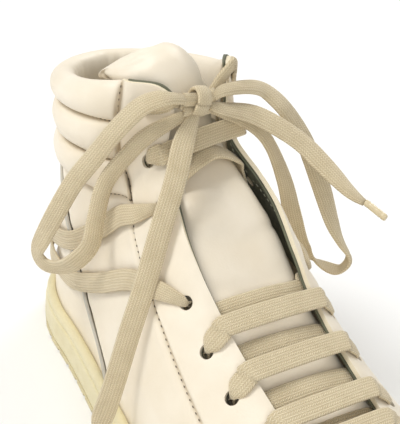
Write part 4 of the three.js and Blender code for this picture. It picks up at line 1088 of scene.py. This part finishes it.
def tongueTable():
    # The tongue's middle layer: rows along it, and 61 shares across it.
    shares = np.linspace(-1, 1, 61)
    rows = []
    for outside, edge, _ in tongueRows:
        depth = tongue["depth"] + tongue["padding"] / 2
        corners = [[-outside[0], outside[1]], [-edge[0], edge[1]], [edge[0], edge[1]],
                   [outside[0], outside[1]]]
        spots = onSurface(corners, np.full(4, -depth))
        rows.append(spline([spots[0], spots[1], (spots[1] + spots[2]) / 2, spots[2], spots[3]],
                           (shares + 1) / 2))
    for front, bows, shift, halfWidth, level, droop, lean, _ in tongueFreeRows:
        rows.append(np.stack([front - np.where(shares < 0, *bows) * shares ** 2, shift + halfWidth * shares,
                              level - droop * shares ** 2 + lean * shares], -1))
    parts = np.linspace(0, 1, tongue["rows"] + 1)
    table = spline(np.array(rows).reshape(len(rows), -1), parts).reshape(len(parts), 61, 3)
    # The free end narrows to rounded corners.
    narrow = 1 - 0.42 * smoothStep(parts, 0.87, 1.0)[:, None, None] ** 2
    table = table[:, 30:31] + (table - table[:, 30:31]) * narrow
    fulls = spline([[row[-1]] for row in (*tongueRows, *tongueFreeRows)], parts)[:, 0]
    normal = unit(-np.cross(np.gradient(table, axis=0), np.gradient(table, axis=1)))
    return shares, table, normal, 0.5 * tongue["padding"] * fulls


def across(table, shares, wanted):
    # Values of a table at other shares: the result is one column for each wanted share.
    place = (np.asarray(wanted) + 1) / 2 * (len(shares) - 1)
    first = np.minimum(place.astype(int), len(shares) - 2)
    mix = (place - first)[:, None, None]
    swapped = table.transpose(1, 0, 2)
    return swapped[first] * (1 - mix) + swapped[first + 1] * mix


def addTongue():
    shares, table, normal, full = tongueTable()
    angle = 2 * np.pi * np.arange(tongue["around"] + 1) / tongue["around"]
    wanted = np.sign(np.cos(angle)) * np.abs(np.cos(angle)) ** 0.7
    out = np.sign(np.sin(angle)) * np.abs(np.sin(angle)) ** 0.75
    centre, outward = across(table, shares, wanted), unit(across(normal, shares, wanted))
    # Held between the flaps the pad is pinched near its sides and crowned along its middle.
    crown = 1.12 - 0.25 * np.abs(wanted) ** 2
    offset = (out * crown)[:, None] * full[None]
    points = centre + outward * offset[..., None]
    relief = 0.6 * noiseAt(points, 22.0, 5.5) + 0.3 * noiseAt(points, 9.0, 8.8)
    for line, depth, width in tongue["creases"]:
        fine = spline(line, np.linspace(0, 1, 40))
        rows = fine[:, 1] / (len(tongueRows) + len(tongueFreeRows) - 1) * tongue["rows"]
        low = np.minimum(rows.astype(int), tongue["rows"] - 1)
        columns = np.clip(((fine[:, 0] + 1) / 2 * 60).round().astype(int), 0, 60)
        fade = np.sin(np.pi * np.linspace(0.05, 0.95, 40))
        raised = full[low] * (1.12 - 0.25 * fine[:, 0] ** 2)
        spots = table[low, columns] + normal[low, columns] * raised[:, None]
        gap = np.full(points.shape[:-1], 1e9)
        strength = np.zeros(points.shape[:-1])
        for spot, part in zip(spots, fade):
            near = np.linalg.norm(points - spot, axis=-1)
            strength = np.where(near < gap, part, strength)
            gap = np.minimum(gap, near)
        relief = relief - strength * depth * (bell(gap, width)
                                              - 0.45 * bell(gap - 2.6 * width, 1.6 * width))
    relief = relief * np.sign(out)[:, None] * smoothStep(np.abs(out), 0.1, 0.6)[:, None]
    points = points + outward * relief[..., None]
    # Painted shade along the seam at the tongue's two sides.
    shade = bell(1 - np.abs(wanted), 0.02)[:, None] * np.ones(len(full))[None]
    bm = gridOf(toFrame(points), weldAround=True, attributes={"seamShade": shade})
    closeAndTurnOut(bm)
    made = finishMesh(bm, "tongue_pad", "tongue_body", "leather", finish["leather"])
    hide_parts("tongue")

    span = np.linspace(-0.93, 0.93, 45)
    centre, outward = across(table, shares, span), unit(across(normal, shares, span))
    behind = full[None] * (np.sqrt(1 - 0.8 * span ** 2) + 0.1)[:, None] + tongue["liningGap"]
    points = centre - outward * behind[..., None]
    bm = gridOf(toFrame(points[:, 2:-3]))
    bmesh.ops.recalc_face_normals(bm, faces=bm.faces)
    backing = finishMesh(bm, "tongue_backing", "tongue_body", "lining", finish["lining"])
    addSolidify(backing, 1.0, offset=0)
    addBevel(backing, 0.3)
    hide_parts("tongue_lining")


addTongue()
print("tongue made")

# Sole

sole = {"around": 300, "gap": 1.2, "wall": 4.2, "randTop": 31.0, "bandHeight": 4.6}


def soleOutline(offset):
    # The outline where the upper meets the sole, moved outwards by an offset.
    count = sole["around"]
    station = np.linspace(0, lap, count + 1)
    point = surfacePoint(station, 0.0)
    ahead = surfacePoint(station + 0.02, 0.0) - surfacePoint(station - 0.02, 0.0)
    out = unit(np.stack([-ahead[:, 1], ahead[:, 0], np.zeros(count + 1)], -1))
    return point * np.array([1, 1, 0]) + out * np.asarray(offset, float)[..., None]


def sweepAround(name, profile):
    # A closed profile of (offset, level) carried around the shoe's outline.
    loop = np.array(profile + profile[:1], float)
    points = []
    for offset, level in loop:
        ring = soleOutline(offset)
        ring[:, 2] = level
        points.append(ring)
    bm = gridOf(toFrame(np.array(points)), weldAround=True, weldAlong=True)
    bmesh.ops.recalc_face_normals(bm, faces=bm.faces)
    return finishMesh(bm, name, shoeBody, "rubber", finish["rubber"])


def roundedPlate(name, offset, levels, body, slotName, material, rounding, dish=0.0):
    # A plate of the sole's shape whose faces run in to a spine.
    low, high = levels
    edge = soleOutline(offset)
    spine = edge.copy()
    spine[:, 0] = np.clip(edge[:, 0], 32, 258)
    spine[:, 1] = 6 * smoothStep(spine[:, 0] / upper["length"], 0.74, 1.01) + 1.0
    points = []
    for share, inset, level in ([(1, 0, low)] + [(part, 0, low) for part in (0.6, 0.25)]
                                + [(0, rounding, low), (0, rounding * 0.3, low + rounding * 0.3),
                                   (0, 0, low + rounding)]
                                + [(0, 0, high - rounding), (0, rounding * 0.3, high - rounding * 0.3),
                                   (0, rounding, high)]
                                + [(part, 0, high - dish * part) for part in (0.1, 0.25, 0.45, 0.7)]
                                + [(1, 0, high - dish)]):
        ring = soleOutline(offset - inset) * (1 - share) + spine * share
        ring[:, 2] = level
        points.append(ring)
    bm = gridOf(toFrame(np.array(points)), weldAlong=True)
    bmesh.ops.remove_doubles(bm, verts=bm.verts[:], dist=2e-5)
    closeAndTurnOut(bm)
    return finishMesh(bm, name, body, slotName, finish[material])


outer = sole["gap"] + sole["wall"]
wallTop = sole["randTop"] - sole["bandHeight"] - 0.1
rand = sweepAround("rand_wall", [
    (sole["gap"], 13.8), (outer - 0.8, 13.8), (outer - 0.35, 14.1), (outer - 0.1, 14.9), (outer, 16.5),
    (outer - 0.1, 20), (outer - 0.2, 24.6), (outer - 0.35, 25.6), (outer - 0.9, 26.2),
    (outer - 1.6, wallTop), (sole["gap"], wallTop)])
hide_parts("sidewall_rand")
bandBase = sole["randTop"] - sole["bandHeight"] + 0.1
band = sweepAround("rand_band", [
    (sole["gap"] - 0.5, bandBase), (outer - 1.7, bandBase), (outer - 1.0, bandBase + 0.25),
    (outer - 0.72, bandBase + 0.8), (outer - 0.75, bandBase + 2.4), (outer - 1.1, bandBase + 3.7),
    (outer - 1.9, bandBase + 4.5), (outer - 2.9, bandBase + 4.65), (0.7, bandBase + 4.4),
    (0.35, bandBase + 3.9), (0.5, bandBase + 2)])
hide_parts("rand_top_band")
sock = roundedPlate("insole", -8.2, (19.7, 24.2), "insole_body", "foam", "foam", 1.2, dish=0.6)
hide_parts("sockliner")
print("sole made")

# Heel loop

heelLoop = {"width": 12, "low": 45, "high": 70, "reach": 5.2}
heelFace = float(surfacePoint(0.0, 0.25)[0])
low, high = heelLoop["low"], heelLoop["high"]
outside = heelFace - heelLoop["reach"] + 0.7
heelRoute = [(heelFace + 1.2, 0, low), (heelFace - 2, 0, low + 0.6), (outside, 0, low + 4.5),
             (outside, 0, (low + high) / 2), (outside, 0, high - 4.5), (heelFace - 2, 0, high - 0.6),
             (heelFace + 1.2, 0, high)]
heelFaces = [(-0.2, 0, -1), (-0.5, 0, -0.8), (-1, 0, -0.3), (-1, 0, 0), (-1, 0, 0.3), (-0.5, 0, 0.8),
             (-0.2, 0, 1)]
made, _ = addRibbon("heel_tab", heelRoute, heelFaces, np.full(7, heelLoop["width"]), slotName="red_webbing",
                    material="webbing", thickness=1.3)
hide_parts("heel_loop")

# Stitches

stitch = {"pitch": 2.9, "length": 1.15, "radius": 0.27}


def addStitches(name, lines, offset, material="thread", pitch=stitch["pitch"], length=stitch["length"]):
    # Short runs of thread laid along lines of places on the surface.
    bm = bmesh.new()
    for line in lines:
        fine = spline(line, np.linspace(0, 1, 400))
        path = np.concatenate([onSurface(fine, np.full(400, offset)), fine], 1)
        steps = np.linalg.norm(np.diff(path[:, :3], axis=0), axis=1)
        run = np.concatenate([[0], np.cumsum(steps)])
        for middle in np.arange(1.2, run[-1] - 0.8, pitch):
            ends = [np.array([np.interp(middle + shift, run, path[:, axis]) for axis in range(5)])
                    for shift in (-0.3, 0, 0.3)]
            along = Vector(unit(ends[2][:3] - ends[0][:3]))
            out = Vector(surfaceNormal(ends[1][3], ends[1][4]))
            side = along.cross(out).normalized()
            turn = Matrix((along, side, along.cross(side))).transposed().to_4x4()
            size = Matrix.Diagonal((length * 0.5, stitch["radius"], stitch["radius"] * 0.8, 1))
            place = Matrix.Translation(Vector(toFrame(ends[1][:3]))) @ turn @ Matrix.Scale(0.001, 4) @ size
            bmesh.ops.create_uvsphere(bm, u_segments=6, v_segments=5, radius=1, matrix=place)
    finishMesh(bm, name, shoeBody, "lace", finish[material])


facingLine = [(5.25, 0.925), (6, 0.925), (7, 0.925), (8, 0.92), (9, 0.91), (10, 0.9), (11, 0.9), (12, 0.9)]
for side, label in ((-1, "lateral"), (1, "medial")):
    addStitches(f"seam_stitches_{label}", [flip(collarSeam, side), flip(eyestaySeam, side)], -0.45)
    rollEnds = []
    for level, start in ((0, 0.72), (1, 0.7), (2, 0.55)):
        shares = np.linspace(start, 1, 9)
        station, height = collarSeam[level]
        if level == 0:
            rollEnds.append([collarBase(side * share * station) for share in shares])
        else:
            rollEnds.append([[side * share * station, rollSeams[level] + (height - rollSeams[level])
                              * share ** 4] for share in shares])
    addStitches(f"roll_stitches_{label}", rollEnds, -0.35, pitch=2.4, length=1.2)
    addStitches(f"facing_stitches_{label}", [flip(facingLine, side)], -leatherThick - 1.45,
                material="paleThread", pitch=2.6, length=1.9)
addStitches("toe_stitches", [[[station, height + 0.035] for station, height in toeSeam]], 0.05,
            material="paleThread", pitch=2.6, length=1.8)
print("stitches laid")

# Floor and light

floor = {"size": 6.0, "level": -0.0002}


def addFloor():
    bm = bmesh.new()
    bmesh.ops.create_grid(bm, x_segments=1, y_segments=1, size=floor["size"] / 2,
                          matrix=Matrix.Translation((0, 0, floor["level"])))
    look = {"Base Color": (0.93, 0.93, 0.92, 1), "Roughness": 0.9, "Specular IOR Level": 0.2}
    material, _, _ = newMaterial("paleFloor", **look)
    addObject(bm, "floor", [material])


def addArea(name, place, aim, size, power):
    data = bpy.data.lights.new(name, "AREA")
    data.shape = "DISK"
    data.size = size
    data.energy = power
    light = bpy.data.objects.new(name, data)
    bpy.context.scene.collection.objects.link(light)
    light.location = place
    light.rotation_mode = "QUATERNION"
    light.rotation_quaternion = (Vector(aim) - Vector(place)).to_track_quat("-Z", "Y")


addFloor()
world = bpy.data.worlds.new("studio")
bpy.context.scene.world = world
world.use_nodes = True
world.node_tree.nodes["Background"].inputs["Color"].default_value = (1.0, 0.99, 0.975, 1)
world.node_tree.nodes["Background"].inputs["Strength"].default_value = 0.46
addArea("keyLight", (-0.5, -0.9, 1.5), (0, 0, 0.08), 0.7, 17)
addArea("fillLight", (1.3, -0.6, 0.9), (0, 0, 0.06), 1.0, 7)
addArea("backLight", (-0.6, 1.1, 1.2), (0, 0, 0.08), 0.8, 9)
bpy.context.scene.view_settings.view_transform = "Standard"
